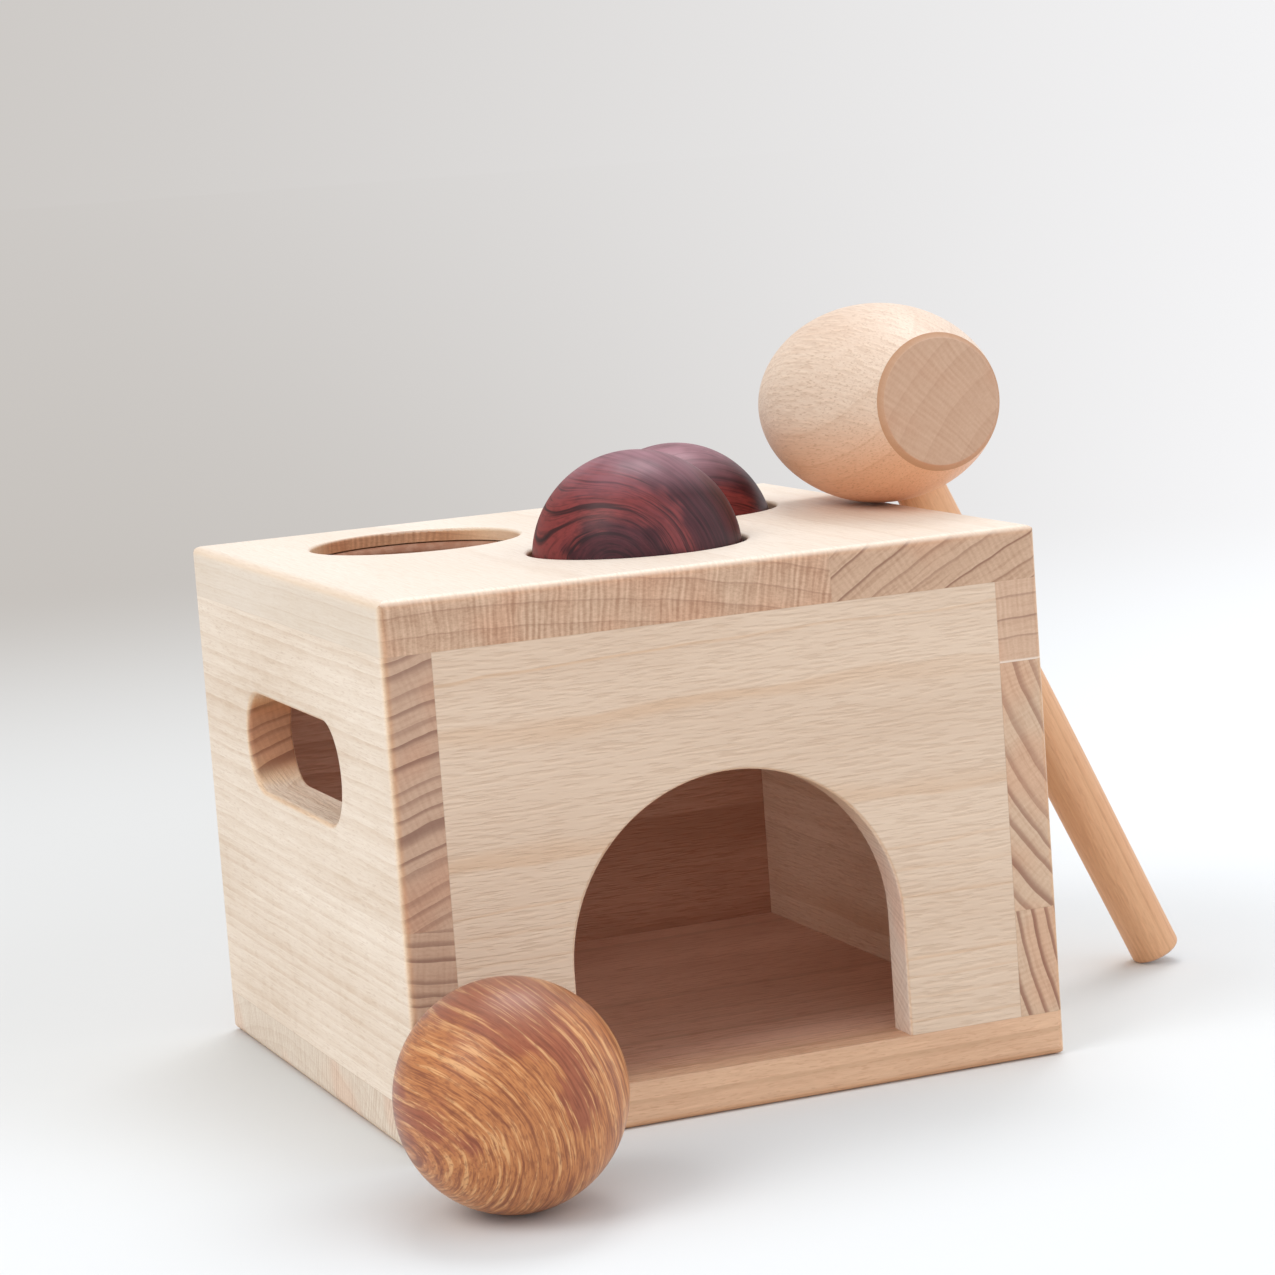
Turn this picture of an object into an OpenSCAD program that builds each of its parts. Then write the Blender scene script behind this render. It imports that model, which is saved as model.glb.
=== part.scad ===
// Object permanence box: a beech box with three ball holes, an arched front,
// hand slots in its sides, three balls and a barrel-headed hammer.
// The origin is the middle of the box's underside, on the table.
// +X is to the right along the front, +Y goes from the front to the back.

/* [Box] */
// Width over both side boards
box_w = 154; // [140:0.5:170]
// Depth from the front panel's face to the back panel's face
box_d = 150.5; // [140:0.5:170]
// Height over the top and bottom boards
box_h = 121; // [112:0.5:135]
// Thickness of the top board
top_t = 11.8; // [10.5:0.1:14]
// Thickness of the bottom board
bottom_t = 10.3; // [9:0.1:14]
// Thickness of each side board
side_t = 11; // [9.5:0.1:14]
// Thickness of the front and back panels
panel_t = 8.9; // [6:0.1:10]
// Rounding of the box's outer edges
edge_r = 2.5; // [1.5:0.1:3.5]

/* [Glued staves] */
// Place of the top board's glue joint, right of the middle
top_seam_x = 26.4; // [20:0.1:32]
// Wood between the left hand slot and the glue joint below it
left_seam_gap = 16.6; // [4:0.1:24]
// Height of the right side board's upper stave
right_upper_h = 18.3; // [10:0.1:24]
// Height of the right side board's middle stave
right_middle_h = 56.4; // [45:0.1:66]

/* [Balls] */
// Diameter of the three balls
ball_d = 48; // [45:0.5:52]
// Depth of the front ball's centre below the top face
front_ball_sink = 2.4; // [1:0.1:5]
// Depth of the rear ball's centre below the top face
rear_ball_sink = 7.3; // [4:0.1:8]
// Free space between the loose ball and the box's front face
loose_ball_gap = 19.4; // [10:0.1:40]
// Distance of the loose ball's centre inside the box's left face
loose_ball_inset = 6.4; // [0:0.1:30]

/* [Ball holes] */
// Free space all round between a ball and the wall of its hole
hole_gap = 1; // [0.6:0.1:2]
// Distance between the centres of the two rear holes
rear_hole_spread = 66.8; // [64:0.2:74]
// Distance of the rear holes behind the front hole
hole_rows = 58.9; // [55:0.1:64]
// Distance of the front hole right of the box's middle
front_hole_shift = 0.4; // [-1:0.1:1]
// Part of the free depth inside the box that lies in front of the front ball
front_space_share = 0.597; // [0.4:0.001:0.7]
// Rounding of the upper rim of each hole
hole_rim_r = 0.9; // [0.4:0.1:1.5]

/* [Elastic rings] */
// Thickness of the ring's cord
ring_cord_d = 3.2; // [2.8:0.1:3.8]
// Depth of the ring's middle below the top face
ring_depth = 5; // [4:0.1:6.5]
// How much the relaxed ring's bore is smaller than a ball, on the radius
ring_pinch = 0.6; // [0.3:0.05:0.9]
// Running clearance between a held ball and the ring that is squeezed round it
ring_ball_gap = 0.1; // [0.05:0.01:0.2]

/* [Arch] */
// Width of the arched doorway
arch_w = 78; // [60:0.1:90]
// Height of the doorway's straight sides over the floor
arch_straight_h = 26.1; // [15:0.1:35]
// Distance of the doorway's middle left of the box's middle
arch_shift = 0.4; // [-1:0.1:1]
// Rounding of the doorway's edges
arch_edge_r = 0.8; // [0.4:0.1:1.5]

/* [Hand slots] */
// Length of each hand slot
slot_l = 74.4; // [60:0.1:90]
// Height of each hand slot
slot_h = 23; // [20:0.1:28]
// Distance of the slots' middle below the box's top face
slot_drop = 42.7; // [36:0.1:48]
// Rounding of the slots' outer edges
slot_edge_r = 1.5; // [0.8:0.1:2.5]
// Rounding of the slots' inner edges
slot_inner_edge_r = 0.5; // [0.3:0.1:1.5]

/* [Dowels] */
// Diameter of the hidden dowels
dowel_d = 6; // [5:0.1:7]
// Depth of each dowel in the side boards
dowel_side_depth = 13; // [9:0.1:14]
// Wood left over a dowel's end in the top and bottom boards
dowel_cover = 4; // [3:0.1:5]
// Distance of the outer dowels from the front and back faces
dowel_inset = 22; // [15:0.5:35]

/* [Hammer] */
// Length of the barrel-shaped head
head_l = 66; // [50:0.5:80]
// Diameter of the head at its middle
head_d = 47.6; // [40:0.1:55]
// Diameter of the head's striking faces
head_face_d = 30.6; // [26:0.1:38]
// Chamfer round each striking face
head_chamfer = 0.6; // [0.4:0.1:1.5]
// Diameter of the handle
handle_d = 12.2; // [10:0.1:15]
// Rounding of the handle's free end
handle_end_r = 1.5; // [0.8:0.1:3]
// Depth of the handle's socket in the head
socket_depth = 30; // [20:0.5:38]
// Distance of the head's middle in front of the box's middle
hammer_shift = 2; // [-8:0.1:8]
// Free space between the leaning handle and the box's top edge
handle_edge_gap = 0.8; // [0.6:0.1:4]
// Angle at which the handle leans away from the box
handle_lean = 24.3; // [20:0.1:30]
// Turn of the head's axis as seen from above
head_turn = 2.5; // [0:0.1:6]
// Rise of the head's front face
head_tip = 2.8; // [0:0.1:5]

/* [Clearances] */
// Thin glue line round dowels, the handle's tenon and the ring grooves
glue_gap = 0.05; // [0.02:0.01:0.1]
// Gap under the hammer's head, where it lies on the box
rest_gap = 0.3; // [0.1:0.05:0.5]

/* [Hidden] */
$fn = 96;

// Cuts run past the faces they open by this much
overrun = 1;

half_w = box_w / 2;
half_d = box_d / 2;
top_z = box_h - top_t;
inner_x = half_w - side_t;
inner_y = half_d - panel_t;

ball_r = ball_d / 2;
hole_r = ball_r + hole_gap;
free_depth = 2 * inner_y - hole_rows - ball_d;
front_hole = [front_hole_shift, front_space_share * free_depth + ball_r - inner_y];
rear_row_y = front_hole.y + hole_rows;
rear_hole = [rear_hole_spread / 2, rear_row_y];
empty_hole = [-rear_hole_spread / 2, rear_row_y];

// The relaxed ring has a round cord. A held ball squeezes it to a flat-sided
// oval of the same area between the ball and the groove's bottom
cord_r = ring_cord_d / 2;
relaxed_bore_r = ball_r - ring_pinch;
ring_outer_r = relaxed_bore_r + ring_cord_d;
held_bore_r = ball_r + ring_ball_gap;
held_half_w = (ring_outer_r - held_bore_r) / 2;
held_flat_h = PI * (cord_r * cord_r - held_half_w * held_half_w) / (2 * held_half_w);
groove_r = ring_outer_r + glue_gap;
groove_h = held_flat_h + 2 * held_half_w + 2 * glue_gap;

left_seam_z = box_h - slot_drop - slot_h / 2 - left_seam_gap;
right_high_seam_z = top_z - right_upper_h;
right_low_seam_z = right_high_seam_z - right_middle_h;

arch_r = arch_w / 2;
arch_spring_z = bottom_t + arch_straight_h;

slot_r = slot_h / 2;
slot_z = box_h - slot_drop;
slot_half_straight = slot_l / 2 - slot_r;

dowel_r = dowel_d / 2;
dowel_x = half_w - side_t / 2;
dowel_y = half_d - dowel_inset;

// The barrel's outline is one arc through its middle and the rims of its faces
head_half_l = head_l / 2;
head_r = head_d / 2;
face_r = head_face_d / 2;
head_sag = head_r - face_r;
head_arc_r = (head_half_l * head_half_l + head_sag * head_sag) / (2 * head_sag);
handle_r = handle_d / 2;
// The head lies on the top board and the handle's foot stands on the table
head_z = box_h + rest_gap + head_arc_r + (head_r - head_arc_r) * cos(head_tip);
full_lean = acos(cos(handle_lean) * cos(head_tip));
handle_reach = handle_end_r
    + (head_z - handle_end_r - (handle_r - handle_end_r) * sin(full_lean)) / cos(full_lean);
hammer_x = half_w - (head_z - box_h) * tan(handle_lean)
    + (handle_r + handle_edge_gap) / cos(handle_lean);
hammer_y = -hammer_shift;

beech = "#e8d2b3";
beech_dark = "#d9b791";
rosewood = "#5a2426";
olive_wood = "#a8672f";
elastic = "#c9c3ba";

// A block between two corners
module block(low, high) {
    translate(low) cube(high - low);
}

// What a rounded edge loses: the edge runs along Z through the origin, and the
// wood lies towards -X and -Y
module edge_loss(length, r) {
    difference() {
        translate([-r, -r, -length / 2 - overrun])
            cube([r + overrun, r + overrun, length + 2 * overrun]);
        translate([-r, -r, -length / 2 - 2 * overrun])
            cylinder(r = r, h = length + 4 * overrun);
    }
}

// What the round rim of a hole loses: the hole's axis is Z and the face is at 0,
// with the wood below it
module rim_loss(bore_r, r) {
    rotate_extrude()
        difference() {
            translate([bore_r - r, -r]) square([2 * r, r + overrun]);
            translate([bore_r + r, -r]) circle(r = r);
        }
}

// What the twelve outer edges of the box lose
module outer_edges_loss() {
    for (sx = [0, 1], sy = [0, 1])
        mirror([sx, 0, 0]) mirror([0, sy, 0])
            translate([half_w, half_d, box_h / 2]) edge_loss(box_h, edge_r);
    for (sx = [0, 1], top = [0, 1])
        mirror([sx, 0, 0]) translate([half_w, 0, top * box_h])
            rotate([90, 0, 0]) mirror([0, 1 - top, 0]) edge_loss(box_d, edge_r);
    for (sy = [0, 1], top = [0, 1])
        mirror([0, sy, 0]) translate([0, half_d, top * box_h])
            rotate([90, 0, 90]) mirror([0, 1 - top, 0]) edge_loss(box_w, edge_r);
}

// One ball hole through the top board, with its rim and the ring's groove
module hole_loss(place) {
    translate([place.x, place.y, box_h]) {
        translate([0, 0, -top_t - overrun]) cylinder(r = hole_r, h = top_t + 2 * overrun);
        rim_loss(hole_r, hole_rim_r);
        translate([0, 0, -ring_depth - groove_h / 2]) cylinder(r = groove_r, h = groove_h);
    }
}

module ball_holes_loss() {
    for (place = [front_hole, rear_hole, empty_hole])
        hole_loss(place);
}

// A hand slot through the right side board, its long way along Y
module slot_loss() {
    translate([half_w, 0, slot_z]) {
        translate([-side_t - overrun, -slot_half_straight, -slot_r])
            cube([side_t + 2 * overrun, 2 * slot_half_straight, slot_h]);
        for (s = [-1, 1])
            translate([-side_t - overrun, s * slot_half_straight, 0])
                rotate([0, 90, 0]) cylinder(r = slot_r, h = side_t + 2 * overrun);
        slot_rim_loss(slot_edge_r);
        translate([-side_t, 0, 0]) mirror([1, 0, 0]) slot_rim_loss(slot_inner_edge_r);
    }
}

module slot_rim_loss(r) {
    for (s = [-1, 1])
        translate([0, s * slot_half_straight, 0])
            rotate([0, 90, 0]) rim_loss(slot_r, r);
    for (up = [0, 1])
        mirror([0, 0, up]) translate([0, 0, -slot_r])
            rotate([90, 0, 0]) edge_loss(2 * slot_half_straight - 2 * overrun, r);
}

// The doorway through the front panel
module arch_loss() {
    translate([-arch_shift, 0, 0]) {
        translate([0, -half_d - overrun, arch_spring_z])
            rotate([-90, 0, 0]) cylinder(r = arch_r, h = panel_t + 2 * overrun);
        block([-arch_r, -half_d - overrun, bottom_t - overrun],
            [arch_r, overrun - inner_y, arch_spring_z]);
        arch_rim_loss();
        translate([0, -half_d - inner_y, 0]) mirror([0, 1, 0]) arch_rim_loss();
    }
}

module arch_rim_loss() {
    translate([0, -half_d, arch_spring_z])
        rotate([90, 0, 0]) rim_loss(arch_r, arch_edge_r);
    for (side = [0, 1])
        mirror([side, 0, 0])
            translate([arch_r, -half_d, (bottom_t + arch_spring_z) / 2 - overrun])
                mirror([1, 0, 0]) mirror([0, 1, 0])
                    edge_loss(arch_straight_h, arch_edge_r);
}

// Three dowels in a row along Y through the joint at a height, on both sides
module dowel_rows(low_z, high_z, r) {
    for (s = [-1, 1], row = [-1, 0, 1])
        translate([s * dowel_x, row * dowel_y, low_z]) cylinder(r = r, h = high_z - low_z);
}

module top_dowel_rows(gap) {
    dowel_rows(top_z - dowel_side_depth - gap, box_h - dowel_cover + gap, dowel_r + gap);
}

module bottom_dowel_rows(gap) {
    dowel_rows(dowel_cover - gap, bottom_t + dowel_side_depth + gap, dowel_r + gap);
}

// A piece of the top board between two places across it
module top_stave(from_x, to_x) {
    difference() {
        block([from_x, -half_d, top_z], [to_x, half_d, box_h]);
        outer_edges_loss();
        ball_holes_loss();
        top_dowel_rows(glue_gap);
    }
}

// A piece of the right side board between two heights
module side_stave(low_z, high_z) {
    difference() {
        block([inner_x, -half_d, low_z], [half_w, half_d, high_z]);
        outer_edges_loss();
        slot_loss();
        top_dowel_rows(glue_gap);
        bottom_dowel_rows(glue_gap);
    }
}

module top_left_stave() {
    color(beech) top_stave(-half_w, top_seam_x);
}

module top_right_stave() {
    color(beech) top_stave(top_seam_x, half_w);
}

module left_upper_stave() {
    color(beech) mirror([1, 0, 0]) side_stave(left_seam_z, top_z);
}

module left_lower_stave() {
    color(beech) mirror([1, 0, 0]) side_stave(bottom_t, left_seam_z);
}

module right_upper_stave() {
    color(beech) side_stave(right_high_seam_z, top_z);
}

module right_middle_stave() {
    color(beech) side_stave(right_low_seam_z, right_high_seam_z);
}

module right_lower_stave() {
    color(beech) side_stave(bottom_t, right_low_seam_z);
}

module bottom_board() {
    color(beech)
        difference() {
            block([-half_w, -half_d, 0], [half_w, half_d, bottom_t]);
            outer_edges_loss();
            bottom_dowel_rows(glue_gap);
        }
}

module front_panel() {
    color(beech)
        difference() {
            block([-inner_x, -half_d, bottom_t], [inner_x, -inner_y, top_z]);
            arch_loss();
        }
}

module back_panel() {
    color(beech) block([-inner_x, inner_y, bottom_t], [inner_x, half_d, top_z]);
}

module top_dowels() {
    color(beech_dark) top_dowel_rows(0);
}

module bottom_dowels() {
    color(beech_dark) bottom_dowel_rows(0);
}

// A ring squeezed between its groove and a ball that it holds
module held_ring(place) {
    translate([place.x, place.y, box_h - ring_depth])
        rotate_extrude()
            translate([held_bore_r + held_half_w, 0]) {
                for (s = [-1, 1])
                    translate([0, s * held_flat_h / 2]) circle(r = held_half_w);
                square([2 * held_half_w, held_flat_h], center = true);
            }
}

// A ring with nothing in it
module relaxed_ring(place) {
    translate([place.x, place.y, box_h - ring_depth])
        rotate_extrude()
            translate([relaxed_bore_r + cord_r, 0]) circle(r = cord_r);
}

module front_hole_ring() {
    color(elastic) held_ring(front_hole);
}

module rear_hole_ring() {
    color(elastic) held_ring(rear_hole);
}

module empty_hole_ring() {
    color(elastic) relaxed_ring(empty_hole);
}

module front_ball() {
    color(rosewood)
        translate([front_hole.x, front_hole.y, box_h - front_ball_sink]) sphere(r = ball_r);
}

module rear_ball() {
    color(rosewood)
        translate([rear_hole.x, rear_hole.y, box_h - rear_ball_sink]) sphere(r = ball_r);
}

module loose_ball() {
    color(olive_wood)
        translate([loose_ball_inset - half_w, -half_d - loose_ball_gap - ball_r, ball_r])
            sphere(r = ball_r);
}

// Places the hammer, made with its head along Y at the origin and its handle
// down -Z, where it leans on the box
module lean_on_box() {
    translate([hammer_x, hammer_y, head_z])
        rotate([0, 0, head_turn]) rotate([-head_tip, 0, 0]) rotate([0, -handle_lean, 0])
            children();
}

module hammer_head() {
    color(beech)
        lean_on_box()
            difference() {
                rotate([90, 0, 0])
                    rotate_extrude()
                        intersection() {
                            translate([head_r - head_arc_r, 0]) circle(r = head_arc_r, $fn = 360);
                            head_bounds();
                        }
                translate([0, 0, -head_r - overrun])
                    cylinder(r = handle_r + glue_gap, h = socket_depth + glue_gap + overrun);
            }
}

// The half outline that the faces and their chamfers leave of the head's arc
module head_bounds() {
    flat_r = face_r - head_chamfer;
    polygon([[0, -head_half_l], [flat_r, -head_half_l], [flat_r + head_half_l, 0],
        [flat_r, head_half_l], [0, head_half_l]]);
}

module hammer_handle() {
    color(beech_dark)
        lean_on_box()
            difference() {
                translate([0, 0, -handle_reach])
                    cylinder(r = handle_r, h = handle_reach - head_r + socket_depth);
                translate([0, 0, -handle_reach]) rotate_extrude() handle_end_loss();
            }
}

// The half outline of what the rounding of the handle's end loses
module handle_end_loss() {
    difference() {
        translate([handle_r - handle_end_r, -overrun])
            square([handle_end_r + overrun, handle_end_r + overrun]);
        translate([handle_r - handle_end_r, handle_end_r]) circle(r = handle_end_r);
    }
}

top_left_stave();
top_right_stave();
left_upper_stave();
left_lower_stave();
right_upper_stave();
right_middle_stave();
right_lower_stave();
bottom_board();
front_panel();
back_panel();
top_dowels();
bottom_dowels();
front_hole_ring();
rear_hole_ring();
empty_hole_ring();
front_ball();
rear_ball();
loose_ball();
hammer_head();
hammer_handle();
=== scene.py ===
"""Looks of an object permanence box: a beech case, three balls and a barrel-headed hammer.

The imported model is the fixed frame. The boards, the panels and the dowels stay as they
are and get their wood. The balls, the elastic rings and the hammer are turned again here
as fine surfaces that stand for their solids. Everything is in metres, in the frame's own
axes: +X to the right along the front, +Y from the front to the back, +Z up.
"""

import logging
import math
from dataclasses import dataclass, field, replace
from enum import Enum
from typing import Any, ClassVar

import bpy
import numpy as np
from mathutils import Euler, Matrix, Vector

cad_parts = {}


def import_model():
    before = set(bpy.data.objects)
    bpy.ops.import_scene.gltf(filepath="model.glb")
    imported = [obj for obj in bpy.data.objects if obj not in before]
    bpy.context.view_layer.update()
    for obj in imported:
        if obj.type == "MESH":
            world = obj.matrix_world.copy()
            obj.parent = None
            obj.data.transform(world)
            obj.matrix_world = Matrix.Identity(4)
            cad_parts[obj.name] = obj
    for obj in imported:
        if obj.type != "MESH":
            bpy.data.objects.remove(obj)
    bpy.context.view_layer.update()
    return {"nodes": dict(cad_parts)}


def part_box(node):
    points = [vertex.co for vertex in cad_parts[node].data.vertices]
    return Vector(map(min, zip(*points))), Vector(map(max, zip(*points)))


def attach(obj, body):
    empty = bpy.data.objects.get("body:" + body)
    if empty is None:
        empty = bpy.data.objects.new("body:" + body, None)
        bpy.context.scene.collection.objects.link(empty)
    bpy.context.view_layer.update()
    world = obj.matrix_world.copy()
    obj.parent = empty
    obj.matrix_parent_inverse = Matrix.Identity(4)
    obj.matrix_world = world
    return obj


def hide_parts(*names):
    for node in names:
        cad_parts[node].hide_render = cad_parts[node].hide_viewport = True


frame: dict[str, Any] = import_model()

LOG = logging.getLogger("object_permanence_box")
MM = 0.001
NOISE_MIDDLE = 0.5
BUMP_STRENGTH = 0.6

Colour = tuple[float, float, float, float]
Triple = tuple[float, float, float]
# A span is where a smooth step starts and ends, and a slope is a gain and a base.
Span = tuple[float, float]
Slope = tuple[float, float]
Socket = bpy.types.NodeSocket
Feed = float | tuple[float, ...] | Vector | Euler | Socket


def shade(red: float, green: float, blue: float) -> Colour:
    """Returns an opaque colour from three linear shares of light."""
    return (red, green, blue, 1.0)


class Sheet:
    """A shader node tree that is being drawn: each method adds a node and gives its output."""

    def __init__(self, tree: bpy.types.NodeTree) -> None:
        """Starts drawing in the tree of a material, a world or a group."""
        self.tree = tree

    def feed(self, socket: Socket, value: Feed) -> None:
        """Links an output to an input, or sets the input's own value.

        Args:
            socket: the input.
            value: an output to link, or a plain value.
        """
        if isinstance(value, bpy.types.NodeSocket):
            self.tree.links.new(value, socket)
        else:
            socket.default_value = value

    def node(self, kind: str, feeds: dict[Any, Feed], **settings: Any) -> bpy.types.Node:
        """Adds one node.

        Args:
            kind: Blender's name of the node.
            feeds: what goes into each input, by the input's name or number.
            settings: the node's own settings.

        Returns:
            The node.
        """
        made = self.tree.nodes.new(kind)
        for name, value in settings.items():
            setattr(made, name, value)
        for key, value in feeds.items():
            self.feed(made.inputs[key], value)
        return made

    def sum(self, operation: str, *values: Feed) -> Socket:
        """Works out one number from up to three others.

        Args:
            operation: Blender's name of the sum, such as DIVIDE.
            values: the numbers, in the node's order.

        Returns:
            The result.
        """
        return self.node("ShaderNodeMath", dict(enumerate(values)), operation=operation).outputs[0]

    def times(self, product: Feed, *others: Feed) -> Feed:
        """Multiplies two or more numbers.

        Args:
            product: the first number.
            others: the numbers that it is multiplied by.

        Returns:
            The product.
        """
        for other in others:
            product = self.sum("MULTIPLY", product, other)
        return product

    def line(self, value: Feed, gain: Feed, base: Feed) -> Socket:
        """Returns a number times a gain, plus a base."""
        return self.sum("MULTIPLY_ADD", value, gain, base)

    def swing(self, noise: Feed, gain: Feed, base: Feed = 0.0) -> Socket:
        """Returns how far a noise is from its middle, times a gain, plus a base."""
        return self.line(self.sum("SUBTRACT", noise, NOISE_MIDDLE), gain, base)

    def clamped(self, value: Feed) -> Socket:
        """Returns a number kept between 0 and 1."""
        return self.node("ShaderNodeClamp", {"Value": value}).outputs[0]

    def step(self, value: Feed, low: Feed, high: Feed) -> Socket:
        """Returns a smooth step from 0 at low to 1 at high. High may be the lower number."""
        feeds = {"Value": value, "From Min": low, "From Max": high}
        return self.node("ShaderNodeMapRange", feeds, interpolation_type="SMOOTHSTEP").outputs[0]

    def arrow(self, operation: str, *values: Feed) -> Socket:
        """Works out a vector, or a vector's length or dot product.

        Args:
            operation: Blender's name of the vector sum.
            values: the vectors, in the node's order.

        Returns:
            The result.
        """
        made = self.node("ShaderNodeVectorMath", dict(enumerate(values)), operation=operation)
        return made.outputs["Value" if operation in ("LENGTH", "DOT_PRODUCT") else "Vector"]

    def scaled(self, vector: Feed, amount: Feed) -> Socket:
        """Returns a vector times a number."""
        made = self.node("ShaderNodeVectorMath", {0: vector, "Scale": amount}, operation="SCALE")
        return made.outputs["Vector"]

    def levelled(self, vector: Feed) -> Socket:
        """Returns a vector with its third number made 0."""
        return self.arrow("MULTIPLY", vector, (1.0, 1.0, 0.0))

    def turned(self, vector: Feed, turn: Feed) -> Socket:
        """Returns a vector turned by three angles."""
        feeds = {"Vector": vector, "Rotation": turn}
        return self.node("ShaderNodeVectorRotate", feeds, rotation_type="EULER_XYZ").outputs[0]

    def parts(self, vector: Feed) -> tuple[Socket, Socket, Socket]:
        """Returns a vector's three numbers."""
        made = self.node("ShaderNodeSeparateXYZ", {"Vector": vector})
        return made.outputs[0], made.outputs[1], made.outputs[2]

    def joined(self, x: Feed, y: Feed, z: Feed) -> Socket:
        """Returns the vector of three numbers."""
        return self.node("ShaderNodeCombineXYZ", {0: x, 1: y, 2: z}).outputs[0]

    def cells(self, place: Feed, size: Feed, seed: Feed) -> Socket:
        """Returns where to read a noise so that its blobs have a size: place over size, plus seed."""
        return self.arrow("ADD", self.arrow("DIVIDE", place, size), self.joined(seed, seed, seed))

    def noise(self, place: Feed, detail: float, roughness: float = 0.5, output: str = "Fac") -> Socket:
        """Adds solid noise whose blobs are about one unit of the place across.

        Args:
            place: where the noise is read.
            detail: how many finer layers it has.
            roughness: how strong the finer layers are.
            output: Fac for one number, Color for three.

        Returns:
            The noise, from 0 to 1 with its middle at a half.
        """
        feeds = {"Vector": place, "Scale": 1.0, "Detail": detail, "Roughness": roughness}
        return self.node("ShaderNodeTexNoise", feeds).outputs[output]

    def ripple(self, along: Feed, detail: float) -> Socket:
        """Returns noise along one number, with waves about one unit long."""
        feeds = {"W": along, "Scale": 1.0, "Detail": detail, "Roughness": 0.5}
        return self.node("ShaderNodeTexNoise", feeds, noise_dimensions="1D").outputs["Fac"]

    def mix(self, share: Feed, first: Feed, second: Feed, blend: str = "MIX") -> Socket:
        """Mixes two colours.

        Args:
            share: how much of the second colour comes in, from 0 to 1.
            first: the first colour.
            second: the second colour.
            blend: Blender's name of the way they mix.

        Returns:
            The mixed colour.
        """
        made = self.node("ShaderNodeMix", {}, data_type="RGBA", blend_type=blend)
        for key, value in ((0, share), (6, first), (7, second)):
            self.feed(made.inputs[key], value)
        return made.outputs[2]

    def tinted(self, share: Feed, colour: Feed, tint: Feed) -> Socket:
        """Returns a colour that is multiplied by a tint, by a share."""
        return self.mix(share, colour, tint, "MULTIPLY")


def ports(vectors: str = "", colours: str = "", numbers: str = "") -> dict[str, str]:
    """Lists the inputs or the outputs of a shader node group.

    Args:
        vectors: the names of its vectors, with commas between them.
        colours: the names of its colours.
        numbers: the names of its numbers.

    Returns:
        Blender's name of each one's kind, by its name.
    """
    kinds = {"NodeSocketVector": vectors, "NodeSocketColor": colours, "NodeSocketFloat": numbers}
    return {name: kind for kind, names in kinds.items() if names for name in names.split(", ")}


class NodeGroup:
    """A shader node group, drawn once and placed in each material that needs it."""

    title: ClassVar[str] = ""
    takes: ClassVar[dict[str, str]] = {}
    gives: ClassVar[dict[str, str]] = {}

    def draw(self, sheet: Sheet, given: dict[str, Socket]) -> dict[str, Socket]:
        """Draws the inside of the group.

        Args:
            sheet: the group's tree.
            given: the group's inputs by name.

        Returns:
            What goes to each of the group's outputs, by name.
        """
        raise NotImplementedError

    def tree(self) -> bpy.types.NodeTree:
        """Finds the group's tree, which is drawn the first time.

        Returns:
            The tree.
        """
        known = bpy.data.node_groups.get(self.title)
        if known is not None:
            return known
        tree = bpy.data.node_groups.new(self.title, "ShaderNodeTree")
        for way, sockets in (("INPUT", self.takes), ("OUTPUT", self.gives)):
            for name, kind in sockets.items():
                tree.interface.new_socket(name=name, in_out=way, socket_type=kind)
        sheet = Sheet(tree)
        source = tree.nodes.new("NodeGroupInput")
        found = self.draw(sheet, {name: source.outputs[name] for name in self.takes})
        sink = tree.nodes.new("NodeGroupOutput")
        for name, value in found.items():
            sheet.feed(sink.inputs[name], value)
        return tree

    def place(self, sheet: Sheet, feeds: dict[str, Feed], *finishes: Any) -> dict[str, Socket]:
        """Places the group in a material.

        Args:
            sheet: the material's tree.
            feeds: what goes into the inputs, by name. What the group doesn't take is left out.
            finishes: what else holds values for the inputs, in fields of the same name. The
                input Line Strength takes the field line_strength.

        Returns:
            The group's outputs by name.
        """
        node = sheet.node("ShaderNodeGroup", {}, node_tree=self.tree())
        for name in self.takes:
            value = feeds.get(name)
            for finish in finishes:
                value = getattr(finish, name.lower().replace(" ", "_"), None) if value is None else value
            sheet.feed(node.inputs[name], value)
        return {name: node.outputs[name] for name in self.gives}


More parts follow.
